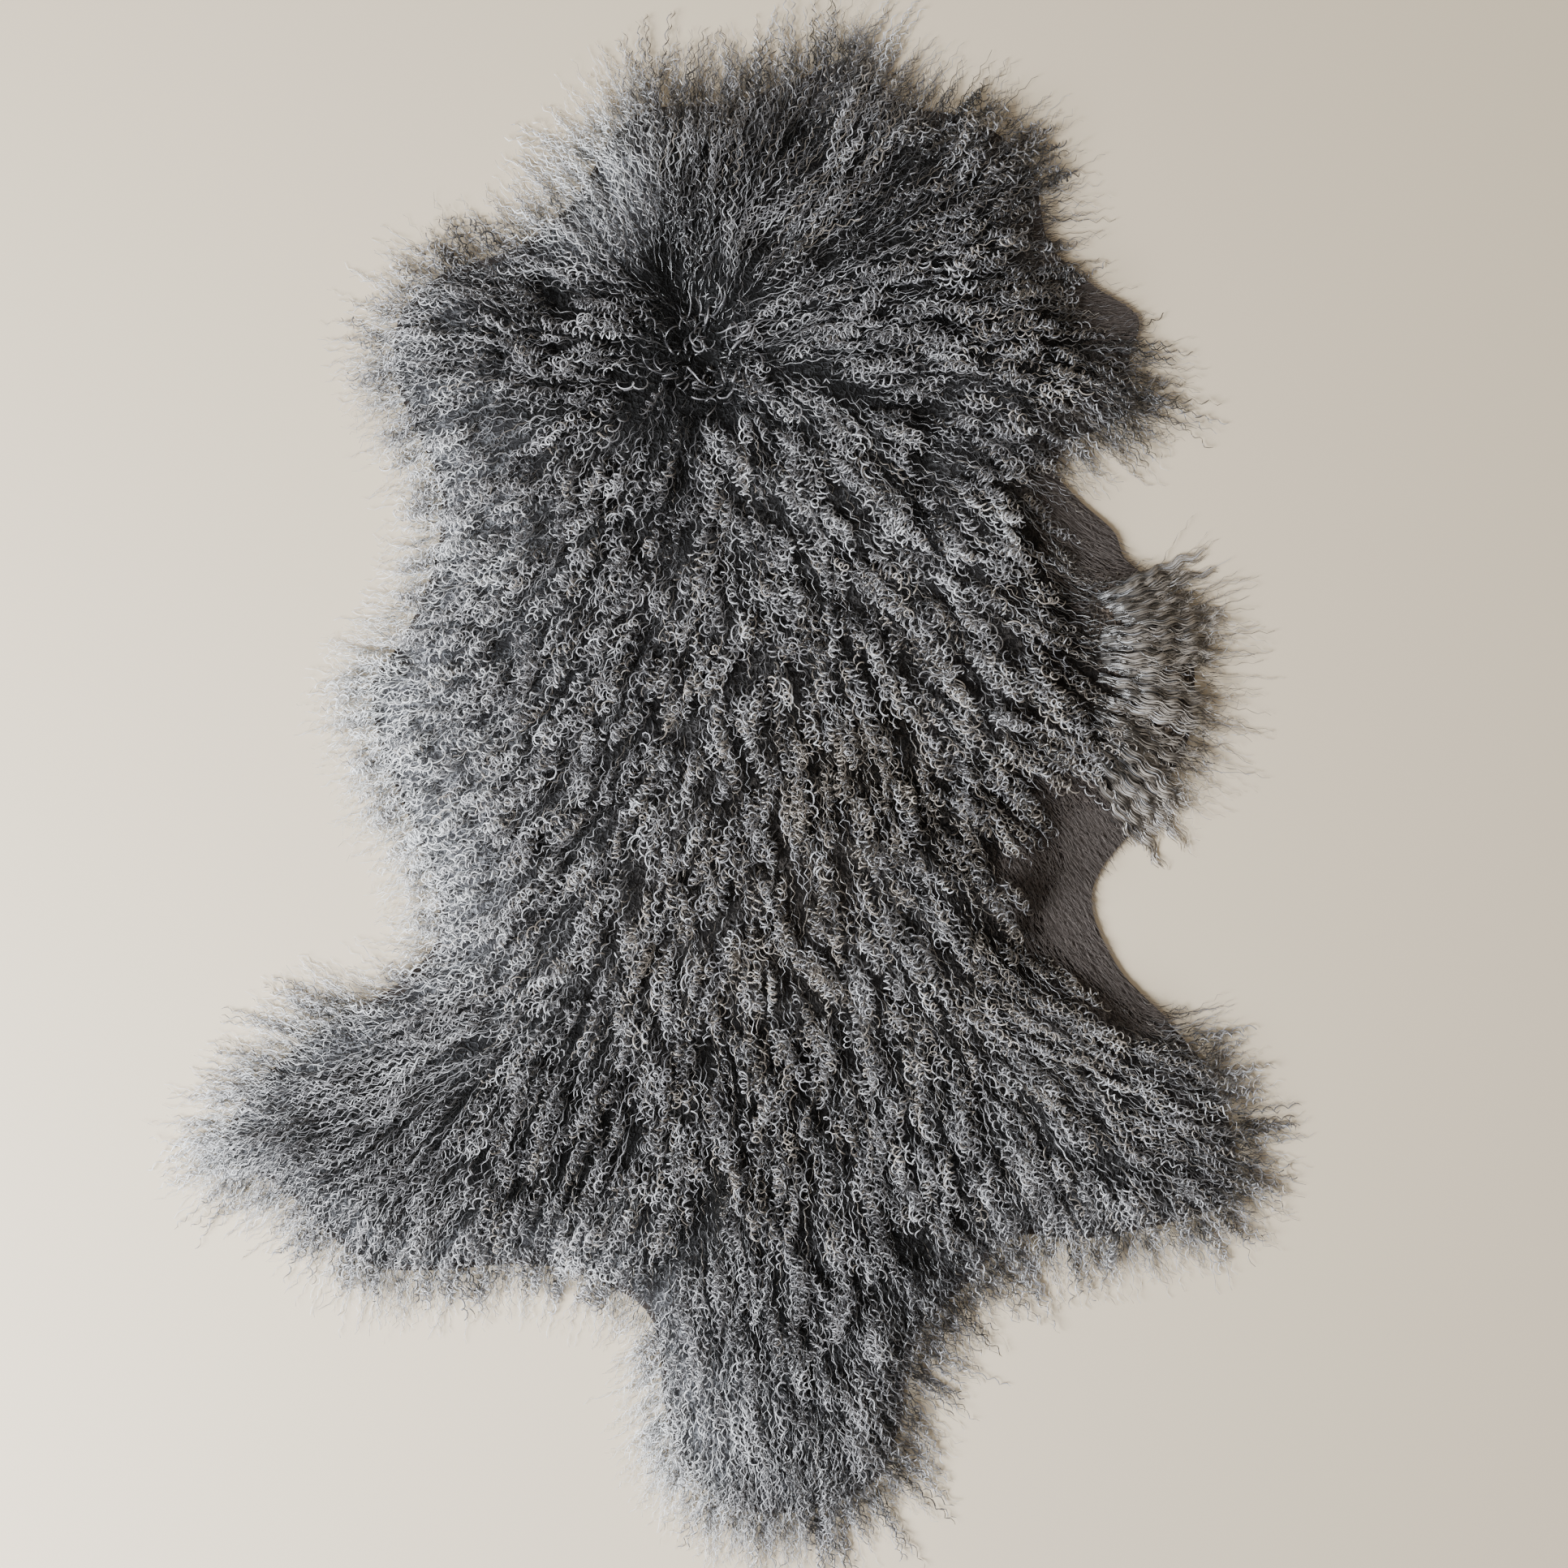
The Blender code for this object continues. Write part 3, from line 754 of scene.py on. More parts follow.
# %% The curls of each lock
ROOT_SPREAD = 8.0
ROPE_GATHERING, RING_GATHERING = 0.75, 0.5
LOCK_LEAN = math.radians(12)
CURL_LEAN = math.radians(8)
CURL_SAMPLES = 32
COIL_LENGTH = 48.0
MOST_TURNS = 4.2
LEAST_TILT, MOST_TILT = math.radians(12), math.radians(62)
WAVE_PITCH = 9.0
STANDING_FROM = 0.4
BARE_WIDTH = 75.0
RIM_LENGTHENS, RIGHT_LENGTHENS = 0.03, 0.22
RIM_WIDTH = 40.0
STANDING_RISE = 6.0
STANDING_SPEED = 0.42
WOBBLE = 0.22


def curl_strands(places, random):
    """The coils of all locks: their paths, the way out of them, widths and card rows."""
    lock = np.repeat(np.arange(len(places)), CURLS_A_LOCK)
    count = len(lock)

    def own(low, high):
        return random.uniform(low, high, count)

    def shared(low, high):
        return random.uniform(low, high, len(places))[lock]

    spin = own(0, 2 * np.pi)
    apart = np.sqrt(own(0, 1))
    spread = ROOT_SPREAD * (0.55 + 0.45 * read(curliness, places[lock])) * apart
    offset = np.stack([np.cos(spin), np.sin(spin)], axis=1) * spread[:, None]
    roots = places[lock] + offset
    curl = np.clip(read(curliness, roots) + own(-0.1, 0.1), 0.08, 1)
    ringed = np.clip((curl - 0.3) / 0.35, 0, 1)
    stand = np.clip(own(-0.3, 1.3), 0, 1) * np.clip((curl - 0.55) / 0.3, 0, 1)
    tilt = own(LEAST_TILT, MOST_TILT) * np.where(own(0, 1) < 0.5, -1, 1)
    rise = np.sin(tilt) * ringed + WAVE_RISE * (1 - ringed)
    along = np.cos(tilt) * ringed
    radius = 0.8 + 1.75 * curl * own(0.6, 1.2) + 0.3 * stand
    length = own(52, 74) * (1 - ringed) + (8 + 22 * shared(0.8, 1.2)) * ringed
    bare_near = 1 - np.clip(read(reach, roots) / FULL_REACH, 0, 1)
    length *= 1 - 0.55 * bare_near * np.clip(1 - read(edge, roots) / BARE_WIDTH, 0, 1)
    near_rim = np.clip(1 - read(edge, roots) / RIM_WIDTH, 0, 1)
    length *= 1 + (RIM_LENGTHENS + RIGHT_LENGTHENS * read(outward, roots)[:, 0]) * near_rim
    coil_turns = np.clip(COIL_LENGTH * own(0.8, 1.2) / (2 * np.pi * radius), 1.5, MOST_TURNS)
    turns = coil_turns * ringed + length / WAVE_PITCH * (1 - ringed)
    here = combed_way(roots)
    sideways = offset[:, 1] * here[:, 0] - offset[:, 0] * here[:, 1]
    lean = random.normal(0, LOCK_LEAN, len(places))[lock] + random.normal(0, CURL_LEAN, count)
    gathering = ROPE_GATHERING * (1 - ringed) + RING_GATHERING * ringed
    lean = lean - gathering * sideways / length
    s = np.linspace(0, 1, CURL_SAMPLES)[None]
    tip = np.clip((s - STANDING_FROM) / (1 - STANDING_FROM), 0, 1)
    slowed = (1 - STANDING_SPEED) * stand[:, None] * np.clip(tip * 4, 0, 1)
    flat = walk(roots, lean, length, CURL_SAMPLES, 1 - slowed)
    dome = 2.5 * (1 - apart**2)
    crest = (shared(2.0, 8.0) + own(-1.5, 1.5) + dome)[:, None]
    lift = -3 + (crest + 3) * np.sin(np.pi / 2 * np.clip(s / 0.5, 0, 1)) ** 1.2
    droop = own(-0.7, 0.4)[:, None] * crest * (1 - stand[:, None])
    lift = lift + droop * tip**1.6 + STANDING_RISE * stand[:, None] * tip
    axis = lifted(flat, lift, (radius * 0.9)[:, None])
    hand = np.where(random.random(len(places)) < 0.5, -1, 1)[lock]
    phase_variety = 0.35 + 1.6 * ringed
    start = shared(0, 2 * np.pi) + random.normal(0, 1, count) * phase_variety
    wind = np.clip((s - 0.1) / 0.9, 0, 1)
    phase = start[:, None] + 2 * np.pi * (hand * turns)[:, None] * wind
    wobble = own(0, 2 * np.pi)[:, None] + 2 * np.pi * own(1.2, 2.6)[:, None] * s
    phase = phase + 0.55 * np.cos(wobble)
    swell = np.clip(0.25 + s * 2.2, 0, 1) * (1 + WOBBLE * np.sin(wobble))
    path, out = wound(axis, radius[:, None] * swell, phase, rise, along)
    width = (0.62 + 0.38 * curl)[:, None] * (1.15 - 0.3 * s)
    width[:, -1] *= 0.4
    lock_shade = random.normal(0, 1, len(places))[lock] * (0.16 - 0.08 * ringed)
    rows = tint_rows(roots, lock_shade, random)
    return path, out, width, rows


curl_parts = curl_strands(lock_places, locks_random)
PIECE_STRANDS = 2900
curl_pieces = []
for number, start in enumerate(range(0, len(curl_parts[0]), PIECE_STRANDS), 1):
    part = [values[start : start + PIECE_STRANDS] for values in curl_parts]
    curl_pieces.append(ribbons(f"curls_{number}", *part, locks_random))

# %% [markdown]
# ## The hooks in the whorl
#
# Where the wool parts behind the neck, a few thick curls lie in the dark opening as wide
# hooks. They take the same steps as the other curls, with wider and fewer turns.

# %% The whorl's hooks
WHORL_MIDDLE = np.array([-14.0, 280.0]) - MIDDLE
WHORL_REACH = 24.0
HOOKS = 70
HOOK_SAMPLES = 22
hook_random = np.random.default_rng(41)


def hook_strands(random):
    """Wide open hooks around the middle of the whorl."""
    spin = random.uniform(0, 2 * np.pi, HOOKS)
    apart = WHORL_REACH * np.sqrt(random.random(HOOKS))
    roots = WHORL_MIDDLE + np.stack([np.cos(spin), np.sin(spin)], axis=1) * apart[:, None]
    length = random.uniform(12, 26, HOOKS)
    flat = walk(roots, random.normal(0, 0.9, HOOKS), length, HOOK_SAMPLES)
    s = np.linspace(0, 1, HOOK_SAMPLES)[None]
    lift = -2 + random.uniform(5, 11, HOOKS)[:, None] * np.sin(np.pi / 2 * s)
    axis = lifted(flat, lift, 3.0)
    radius = random.uniform(2.8, 5.8, HOOKS)[:, None] * np.clip(0.4 + s, 0, 1)
    turns = random.uniform(0.9, 1.8, HOOKS)[:, None] * np.where(spin > np.pi, -1, 1)[:, None]
    phase = random.uniform(0, 2 * np.pi, HOOKS)[:, None] + 2 * np.pi * turns * s
    path, out = wound(axis, radius, phase, 0.5, 0.85)
    width = random.uniform(1.1, 1.9, HOOKS)[:, None] * (1.1 - 0.5 * s)
    return path, out, width, np.round(random.uniform(1, 5, HOOKS))


hooks = ribbons("whorl_hooks", *hook_strands(hook_random), hook_random)

# %% [markdown]
# ## The long tuft on the right
#
# One patch of the right flank has long silky wool. It fans out of a dark pocket in narrow
# locks, and the strands of a lock wave together. So the locks leave a short line of roots as
# rays, spread evenly by the golden ratio, and each lock's strands share their waves.

# %% The right tuft's strands
TUFT_LOW, TUFT_HIGH = np.array([224.0, 18.0]) - MIDDLE, np.array([228.0, 124.0]) - MIDDLE
TUFT_LOWEST_WAY, TUFT_HIGHEST_WAY = math.radians(-52), math.radians(24)
TUFT_LOCKS = 54
TUFT_LOCK_STRANDS = 18
TUFT_SAMPLES = 26
TUFT_WAVE = 16.0
TUFT_HALF_WIDTH = 3.0
TUFT_VARIETY = 0.04
GOLDEN_SHARE = 0.618
tuft_random = np.random.default_rng(47)


def tuft_strands(random):
    """Silky locks that fan out to the right, each with strands that wave together."""
    lock = np.repeat(np.arange(TUFT_LOCKS), TUFT_LOCK_STRANDS)
    count = len(lock)

    def shared(low, high):
        return random.uniform(low, high, TUFT_LOCKS)[lock]

    share = ((np.arange(TUFT_LOCKS) * GOLDEN_SHARE) % 1)[lock]
    angle = TUFT_LOWEST_WAY + (TUFT_HIGHEST_WAY - TUFT_LOWEST_WAY) * share
    ray = np.stack([np.cos(angle), np.sin(angle)], axis=1)
    beside = np.stack([-ray[:, 1], ray[:, 0]], axis=1)
    across = random.uniform(-1, 1, count) * TUFT_HALF_WIDTH
    outside = 22 * shared(0, 1) ** 1.3
    line = TUFT_LOW + (TUFT_HIGH - TUFT_LOW) * share[:, None]
    roots = line + ray * outside[:, None] + beside * across[:, None]
    length = shared(48, 74) * random.uniform(0.85, 1.05, count)
    s = np.linspace(0, 1, TUFT_SAMPLES)[None]
    bend = shared(-0.35, 0.1)[:, None] * s**2
    closing = -(0.3 * across / length)[:, None]
    heading = angle[:, None] + bend + closing + random.normal(0, 0.025, (count, 1))
    step = (length / (TUFT_SAMPLES - 1))[:, None]
    flat = np.stack([np.cos(heading) * step, np.sin(heading) * step], axis=2).cumsum(axis=1)
    flat = flat + roots[:, None]
    middle = 1 - np.abs(across) / TUFT_HALF_WIDTH
    dome = 3.0 * middle
    crest = (shared(2.0, 9.0) + dome)[:, None]
    lift = -4 + (crest + 4) * np.sin(np.pi / 2 * np.clip(s / 0.35, 0, 1)) - crest * 0.6 * s
    axis = lifted(flat, lift, 1.2)
    wave = 2 * np.pi * length[:, None] * s / TUFT_WAVE
    phase = wave + (shared(0, 2 * np.pi) + 0.12 * across + random.normal(0, 0.2, count))[:, None]
    radius = shared(1.0, 1.7)[:, None] * np.clip(0.2 + 1.2 * s, 0, 1.1)
    path, out = wound(axis, radius, phase)
    width = random.uniform(0.7, 1.1, count)[:, None] * (1.15 - 0.6 * s)
    # Each lock gets a random tone, plus painted light in its middle and painted shade at its sides, as
    # light falls across the lock's dome.
    shade = random.normal(0, 0.08, TUFT_LOCKS)[lock] + 0.42 * (middle - 0.55)
    return path, out, width, tint_rows(flat[:, TUFT_SAMPLES // 2], shade, random, TUFT_VARIETY)


tuft = ribbons("right_tuft", *tuft_strands(tuft_random), tuft_random)

# %% [markdown]
# ## The fine wool between the locks
#
# Between the locks lies finer, straighter wool. Without it the gaps would be holes. It is made
# by the same four steps with thinner ribbons, wider waves and less lift.

# %% Fine wool
FINE_SPACING = 5.2
FINE_SHARE = 0.62
FINE_SAMPLES = 11
fine_random = np.random.default_rng(17)


def fine_strands(places, random):
    """Thin wavy strands that lie close to the undercoat."""
    count = len(places)
    length = random.uniform(26, 44, count) * (1.3 - 0.4 * read(curliness, places))
    angle = random.normal(0, math.radians(11), count)
    flat = walk(places, angle, length, FINE_SAMPLES)
    s = np.linspace(0, 1, FINE_SAMPLES)[None]
    crest = random.uniform(0.8, 7.5, count)[:, None]
    lift = -1 + (crest + 1) * np.sin(np.pi / 2 * np.clip(s / 0.5, 0, 1))
    axis = lifted(flat, lift, 0.8)
    curl = read(curliness, places)
    radius = (random.uniform(0.5, 1.3, count) * (1 + 0.9 * curl))[:, None] * np.clip(0.3 + s, 0, 1)
    turns = (length / (13 - 4 * curl))[:, None]
    phase = random.uniform(0, 2 * np.pi, count)[:, None] + 2 * np.pi * turns * s
    path, out = wound(axis, radius, phase)
    width = random.uniform(0.45, 0.75, count)[:, None] * (1.1 - 0.6 * s)
    # Painted window light: fine wool near the rim on the side towards the window is painted paler.
    window_painted_light = np.clip(-read(outward, places)[:, 0], 0, 1) * np.clip(1 - read(edge, places) / 45, 0, 1)
    return path, out, width, tint_rows(places, 0.08 + 0.16 * window_painted_light, random)


fine_places = lattice(FINE_SPACING, fine_random, 0.5)
at_rim = (read(edge, fine_places) < 8) & (read(reach, fine_places) > 8)
fine_places = fine_places[(read(edge, fine_places) > -4) & ((read(top, fine_places) > 6.5) | at_rim)]
straightness = 1 - read(curliness, fine_places)
near_rim = np.clip(1 - read(edge, fine_places) / 25, 0, 1)
keep_share = np.where(straightness > 0.8, 0.3, 0.4 + 1.1 * straightness)
keep_share += 1.2 * np.clip(read(paleness_and_painted_light, fine_places) - 0.6, 0, 1)
keep_share = FINE_SHARE * np.minimum(keep_share, 1) + 0.5 * near_rim
keep_share -= 1.4 * read(bare, fine_places)
kept = fine_random.random(len(fine_places)) < keep_share
fine_places = fine_places[kept]
fine_wool = ribbons("fine_wool", *fine_strands(fine_places, fine_random), fine_random)

# %% [markdown]
# ## The hide
#
# Under the wool is the tanned hide, which shows at the cut edge on the right and from below.
# It is one closed sheet, filled between the points of its rim by Blender's own triangulation,
# with a dark haired side and a paler suede side. Under the wool its edge is drawn in a little.

# %% The hide's mesh
HIDE_SPACING = 16.0
HIDE_CLEARANCE = 5.0
UNDER_WOOL = 5.0
INSIDE_ONLY, MERGE = 1, 1e-6


def filled(loop, inner):
    """Triangles over the loop and the points inside it. The loop's points come first."""
    points = [Vector(point) for point in np.vstack([loop, inner])]
    sides = [(i, (i + 1) % len(loop)) for i in range(len(loop))]
    points, _, faces, _, _, _ = delaunay_2d_cdt(points, sides, [], INSIDE_ONLY, MERGE)
    return np.array([tuple(point) for point in points]), [tuple(face) for face in faces]


def closed_sheet(name, loop, inner, heights):
    """A closed slab: the filled loop at the given heights, its copy on the floor, and a wall."""
    flat, top_faces = filled(loop, inner)
    count = len(flat)
    above = np.column_stack([flat, heights(flat)])
    below = np.column_stack([flat, np.zeros(count)])
    faces = top_faces + [tuple(count + corner for corner in reversed(face)) for face in top_faces]
    for i in range(len(loop)):
        j = (i + 1) % len(loop)
        faces.append((count + i, i, j, count + j))
    mesh = bpy.data.meshes.new(name)
    mesh.from_pydata((np.vstack([above, below]) * MM).tolist(), [], faces)
    mesh.shade_smooth()
    mesh.set_sharp_from_angle(angle=math.radians(40))
    piece = bpy.data.objects.new(name, mesh)
    bpy.context.scene.collection.objects.link(piece)
    print(name, "has", len(top_faces) * 2 + len(loop) * 2, "triangles")
    return piece


def hide_heights(points):
    """The hide's top: level, with the faint waves that drying leaves in leather."""
    x, y = points[:, 0], points[:, 1]
    return HIDE_TOP - 0.15 + 0.1 * np.sin(x / 23) * np.sin(y / 31 + 1)


hide_random = np.random.default_rng(3)
hide_inner = lattice(HIDE_SPACING, hide_random, 0.2)
hide_inner = hide_inner[read(edge, hide_inner) > HIDE_CLEARANCE + UNDER_WOOL]
drawn_in = UNDER_WOOL * np.clip(rim[:, 2] / FULL_REACH, 0, 1)
hide_loop = (rim[:, :2] - rim_outward * drawn_in[:, None])[::2]
hide = closed_sheet("hide", hide_loop, hide_inner, hide_heights)

# %% The hide's finish
def make_leather():
    leather = Finish("leather", 0.8, Specular_IOR_Level=0.3, Sheen_Weight=0.2)
    place = leather.node("ShaderNodeTexCoord", None, None, output=3)
    blotch = leather.node("ShaderNodeTexNoise", None, {"Vector": place, "Scale": 45, "Detail": 3})
    grain = leather.node("ShaderNodeTexNoise", None, {"Vector": place, "Scale": 900, "Detail": 2})
    normal = leather.node("ShaderNodeNewGeometry", None, None, output=1)
    facing = leather.node("ShaderNodeSeparateXYZ", None, {0: normal}, output=2)
    suede_side = leather.node("ShaderNodeMath", {"operation": "LESS_THAN"}, {0: facing, 1: -0.5})
    haired = leather.mix(blotch, (0.044, 0.034, 0.030, 1), (0.072, 0.056, 0.049, 1))
    suede = leather.mix(blotch, (0.20, 0.195, 0.19, 1), (0.29, 0.28, 0.27, 1))
    colour = leather.mix(suede_side, haired, suede)
    leather.set("Base Color", leather.mix(grain * 0.35, colour, (0.02, 0.018, 0.017, 1)))
    bump = leather.node("ShaderNodeBump", None, {"Strength": 0.5, "Distance": 0.0006, "Height": grain})
    leather.set("Normal", bump)
    return leather.material


hide.data.materials.append(make_leather())

# %% [markdown]
# ## The undercoat
#
# The depth of the fleece is a felted mass. It is a closed lumpy sheet that follows the
# solid's own top at a share of its height, so that the locks above it stand where the solid
# says. Its colour is taken from the same paleness field as the locks, painted much darker as
# painted shade of the fleece's depth, with lit rings of fibre painted on it.

# %% The undercoat's mesh
COAT_SPACING = 7.5
COAT_INSET = 8.0
COAT_TAPER = 12.0
coat_random = np.random.default_rng(9)
coat_inner = lattice(COAT_SPACING, coat_random, 0.25)
coat_inner = coat_inner[read(edge, coat_inner) > COAT_INSET + 3]
coat_loop = (rim[:, :2] - rim_outward * COAT_INSET)[::2]


def coat_heights(points):
    """The undercoat's top: a share of the solid's height, rough where the wool is deep."""
    height = read(coat, points)
    rough = coat_random.normal(0, 0.8, len(points)) * np.clip((height - 4) / 8, 0, 1)
    low = np.clip((height - HIDE_TOP - 1.0) / 3.0, 0, 1)
    low = low * np.clip((read(edge, points) - COAT_INSET) / COAT_TAPER, 0, 1)
    return np.maximum(height + rough, HIDE_TOP) * low + (HIDE_TOP - 0.6) * (1 - low)


undercoat = closed_sheet("undercoat", coat_loop, coat_inner, coat_heights)


def make_felt():
    felt = Finish("felt", 0.9, Specular_IOR_Level=0.2)
    place = felt.node("ShaderNodeTexCoord", None, None, output=3)
    warp = felt.node("ShaderNodeTexNoise", None, {"Vector": place, "Scale": 160}, output=1)
    warp = felt.node("ShaderNodeVectorMath", {"operation": "SCALE"}, {0: warp, "Scale": 0.007})
    place = felt.node("ShaderNodeVectorMath", {"operation": "ADD"}, {0: place, 1: warp})
    fibre = felt.node("ShaderNodeTexNoise", None, {"Vector": place, "Scale": 500, "Detail": 4})
    cells = felt.node("ShaderNodeTexVoronoi", None, {"Vector": place, "Scale": 190})
    off_ring = felt.node("ShaderNodeMath", {"operation": "ABSOLUTE"}, {0: cells - 0.45})
    ring = felt.node("ShaderNodeMath", {"operation": "MAXIMUM"}, {0: 1 - off_ring * 6, 1: 0.0})
    # Painted light: a painted shaded copy of the tone, and a painted lit copy for rings of fibre that catch
    # the light.
    tone = felt.node("ShaderNodeAttribute", {"attribute_name": "tone"}, None)
    painted_shaded_felt = felt.mix(1.0, tone, (0.28, 0.27, 0.28, 1), "MULTIPLY")
    painted_lit_felt = felt.mix(1.0, tone, (2.0, 2.0, 2.05, 1), "MULTIPLY")
    felt.set("Base Color", felt.mix(ring * fibre * 1.2, painted_shaded_felt, painted_lit_felt))
    height = fibre + ring * 0.5
    bump = felt.node("ShaderNodeBump", None, {"Strength": 1.0, "Distance": 0.003, "Height": height})
    felt.set("Normal", bump)
    return felt.material


RIM_SHADE_FADE = 30.0


def paint_tone_and_shading(piece):
    """Stores the undercoat's colour at each point, from the paleness field, painted dark as painted shade
    of the depth, darker in partings and less dark near the rim.
    """
    mesh = piece.data
    places = np.empty(len(mesh.vertices) * 3, np.float32)
    mesh.vertices.foreach_get("co", places)
    flat = places.reshape(-1, 3)[:, :2] / MM
    # Painted shade: the undercoat is painted far darker than the locks, and darker still in partings.
    level = np.clip(read(paleness_and_painted_light, flat) - 0.40, 0, 1) ** 1.1 * (1 - read(parted, flat))
    brown = read(brownness, flat)
    # Less painted shade near the rim, where the fleece is thin.
    near_rim = np.clip(1 - (read(edge, flat) - COAT_INSET) / RIM_SHADE_FADE, 0, 1) * 0.15
    tone = 0.015 + (0.60 * level + near_rim)[:, None] * np.array([0.94, 0.97, 1.02])
    tone = tone * (1 + brown[:, None] * np.array([0.35, 0.0, -0.3]))
    hidden = read(bare, flat)[:, None]
    tone = tone * (1 - hidden) + hidden * np.array([0.10, 0.080, 0.070])
    colours = np.column_stack([tone, np.ones(len(tone))])
    mesh.color_attributes.new("tone", "FLOAT_COLOR", "POINT")
    mesh.color_attributes["tone"].data.foreach_set("color", colours.astype(np.float32).ravel())


paint_tone_and_shading(undercoat)
undercoat.data.materials.append(make_felt())

# %% [markdown]
# ## Wisps past the rim
#
# Past the thick wool, single thin curls trail over the floor. On the side towards the window
# they are painted nearly white, as painted window light. They make the skin's soft outline.

# %% Rim wisps
WISP_SAMPLES = 15
WISP_COUNT = 4500
wisp_random = np.random.default_rng(23)


def wisp_strands(random):
    """Thin curls rooted along the rim where there is wool."""
    straightness = 1 - read(curliness, rim[:, :2])
    chance = np.clip(rim[:, 2], 0, None) * np.where(straightness > 0.8, 0.7, 0.6 + straightness)
    pick = random.choice(len(rim), WISP_COUNT, p=chance / chance.sum())
    roots = rim[pick, :2] - rim_outward[pick] * random.uniform(-6, 18, WISP_COUNT)[:, None]
    roots += random.uniform(-2, 2, roots.shape)
    length = random.uniform(13, 32, WISP_COUNT) * np.clip(rim[pick, 2] / 20, 0.4, 1.2)
    length *= np.where(rim_outward[pick, 0] > 0.3, 0.72, 1.0)
    angle = random.normal(0, math.radians(24), WISP_COUNT)
    flat = walk(roots, angle, length, WISP_SAMPLES)
    s = np.linspace(0, 1, WISP_SAMPLES)[None]
    lift = random.uniform(-1, 5, WISP_COUNT)[:, None] * (1 - s) + 1.0
    axis = lifted(flat, lift, 1.0 + 2.0 * random.random((WISP_COUNT, 1)))
    radius = random.uniform(0.9, 2.6, WISP_COUNT)[:, None] * np.clip(0.25 + s, 0, 1)
    turns = length / random.uniform(6, 10, WISP_COUNT) * np.where(roots[:, 0] > 200, 0.7, 1.0)
    start = random.uniform(0, 2 * np.pi, WISP_COUNT)[:, None]
    phase = start + 2 * np.pi * turns[:, None] * s**1.3
    path, out = wound(axis, radius, phase, 0.4, 0.45 * random.random(WISP_COUNT))
    width = random.uniform(0.35, 0.7, WISP_COUNT)[:, None] * (1.1 - 0.6 * s)
    # Painted window light: wisps on the side towards the window are painted paler.
    window_painted_light = np.clip(-rim_outward[pick, 0], 0, 1)
    return path, out, width, tint_rows(roots, 0.10 + 0.18 * window_painted_light, random)


wisps = ribbons("rim_wisps", *wisp_strands(wisp_random), wisp_random)

# %% [markdown]
# ## Short hair on the bare edge
#
# On the inside of the legs a lamb has only short straight hair. It lies flat on the hide along
# the cut edge at the right, so it is made of short ribbons that hug the hide.

# %% Short hair
SHORT_SPACING = 2.2
SHORT_SAMPLES = 4
short_random = np.random.default_rng(31)


def short_strands(places, random):
    """Short straight hairs, flat on the hide."""
    count = len(places)
    length = random.uniform(6, 11, count)
    path = walk(places, random.normal(0, math.radians(13), count), length, SHORT_SAMPLES)
    s = np.linspace(0, 1, SHORT_SAMPLES)[None]
    ground = np.maximum(read(coat, path), HIDE_TOP - 0.2)
    height = ground + random.uniform(0.5, 1.8, count)[:, None] * s
    path = np.concatenate([path, height[..., None]], axis=2)
    out = np.broadcast_to(np.array((0.0, 0.0, 1.0)), path.shape)
    width = random.uniform(0.35, 0.55, count)[:, None] * (1.1 - 0.8 * s)
    rows = random.integers(0, 2, count) + len(GREY_TINTS)
    return path, out, width, rows


short_places = lattice(SHORT_SPACING, short_random, 0.5)
thin = (read(top, short_places) < 11) & (read(reach, short_places) < 12)
thin |= read(bare, short_places) > 0.3
short_places = short_places[thin & (read(edge, short_places) > 1)]
short_hair = ribbons("short_hair", *short_strands(short_places, short_random), short_random)


def make_short_hair():
    hair = Finish("short_hair", 0.6, Specular_IOR_Level=0.3)
    place = hair.node("ShaderNodeTexCoord", None, None, output=3)
    change = hair.node("ShaderNodeTexNoise", None, {"Vector": place, "Scale": 350, "Detail": 2})
    hair.set("Base Color", hair.mix(change, (0.030, 0.023, 0.020, 1), (0.120, 0.098, 0.086, 1)))
    return hair.material


short_hair.data.materials[0] = make_short_hair()

# %% [markdown]
# ## Riding and standing in
#
# Every piece moves with the one body. The hide, the undercoat and the wool together stand for
# the solid, which stays in the physics.

wool_pieces = [undercoat, *curl_pieces, hooks, tuft, fine_wool, wisps, short_hair]
for piece in [hide, *wool_pieces]:
    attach(piece, "root")
    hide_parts("pelt")
    "hide" if piece in (hide, short_hair) else "wool"

# %% [markdown]
# ## Floor, light and camera
#
# The skin lies on a plain pale floor. A large window to the left gives most of the light, and
# the sky fills the rest softly, so the left side is bright and hazy and the gaps stay dark. The
# camera looks straight down from a standing person's height.

# %% The floor
FLOOR_DROP = -0.0004
FLOOR_HALF = 4.0


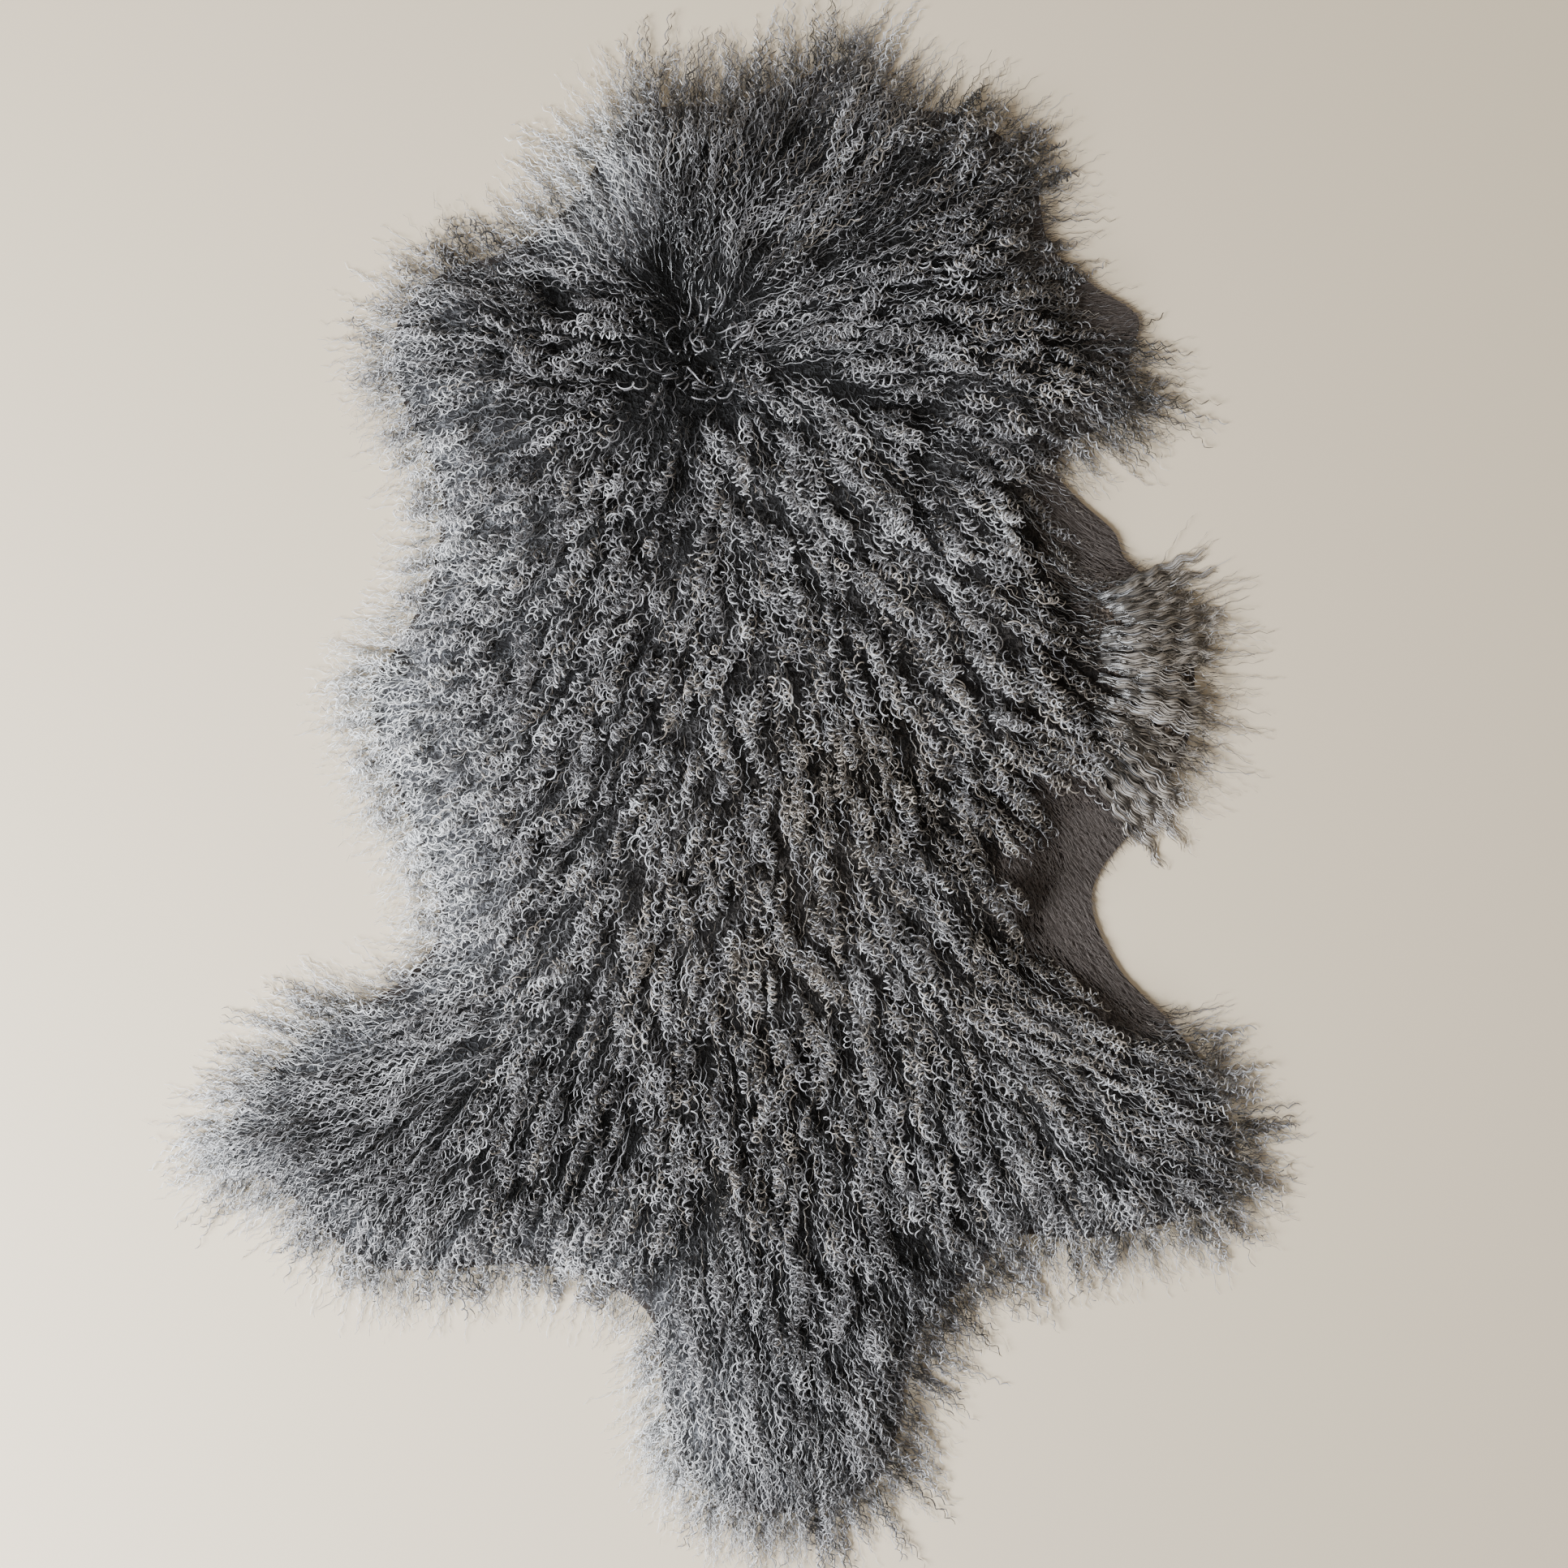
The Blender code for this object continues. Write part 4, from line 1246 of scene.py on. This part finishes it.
def make_floor():
    mesh = bpy.data.meshes.new("floor")
    corners = [(-1, -1), (1, -1), (1, 1), (-1, 1)]
    mesh.from_pydata([(x * FLOOR_HALF, y * FLOOR_HALF, FLOOR_DROP) for x, y in corners], [], [(0, 1, 2, 3)])
    stone = Finish("pale_floor", 0.55, Specular_IOR_Level=0.3)
    stone.set("Base Color", (0.70, 0.59, 0.44, 1))
    mesh.materials.append(stone.material)
    floor = bpy.data.objects.new("floor", mesh)
    bpy.context.scene.collection.objects.link(floor)
    return floor


make_floor()

# %% The lights
def area_light(name, place, target, size, watts, colour):
    """A soft rectangular light aimed at a point."""
    lamp = bpy.data.lights.new(name, "AREA")
    lamp.shape = "SQUARE"
    lamp.size = size
    lamp.energy = watts
    lamp.color = colour
    light = bpy.data.objects.new(name, lamp)
    light.location = place
    light.rotation_euler = (Vector(target) - Vector(place)).to_track_quat("-Z", "Y").to_euler()
    bpy.context.scene.collection.objects.link(light)


area_light("window", (-1.65, -0.8, 1.2), (-0.1, -0.2, 0), 1.2, 185, (0.92, 0.96, 1.0))
area_light("room", (0.9, 1.4, 2.4), (0, 0, 0), 2.4, 14, (1.0, 0.86, 0.66))
world = bpy.data.worlds.new("sky")
world.use_nodes = True
world.node_tree.nodes["Background"].inputs["Color"].default_value = (1.0, 0.95, 0.88, 1)
world.node_tree.nodes["Background"].inputs["Strength"].default_value = 0.25
bpy.context.scene.world = world

# %% The camera
MM_A_PIXEL = 0.52
PICTURE_PIXELS = 1932
PICTURE_CENTRE = np.array([(966 - 900) * MM_A_PIXEL, (972 - 966) * MM_A_PIXEL]) - MIDDLE
CAMERA_HEIGHT = 1.55
camera_data = bpy.data.cameras.new("camera")
seen_width = MM_A_PIXEL * PICTURE_PIXELS * MM
camera_data.lens = camera_data.sensor_width * CAMERA_HEIGHT / seen_width
camera = bpy.data.objects.new("camera", camera_data)
camera.location = (*(PICTURE_CENTRE * MM), CAMERA_HEIGHT)
bpy.context.scene.collection.objects.link(camera)
bpy.context.scene.camera = camera
print("lens in mm:", round(camera_data.lens, 1))
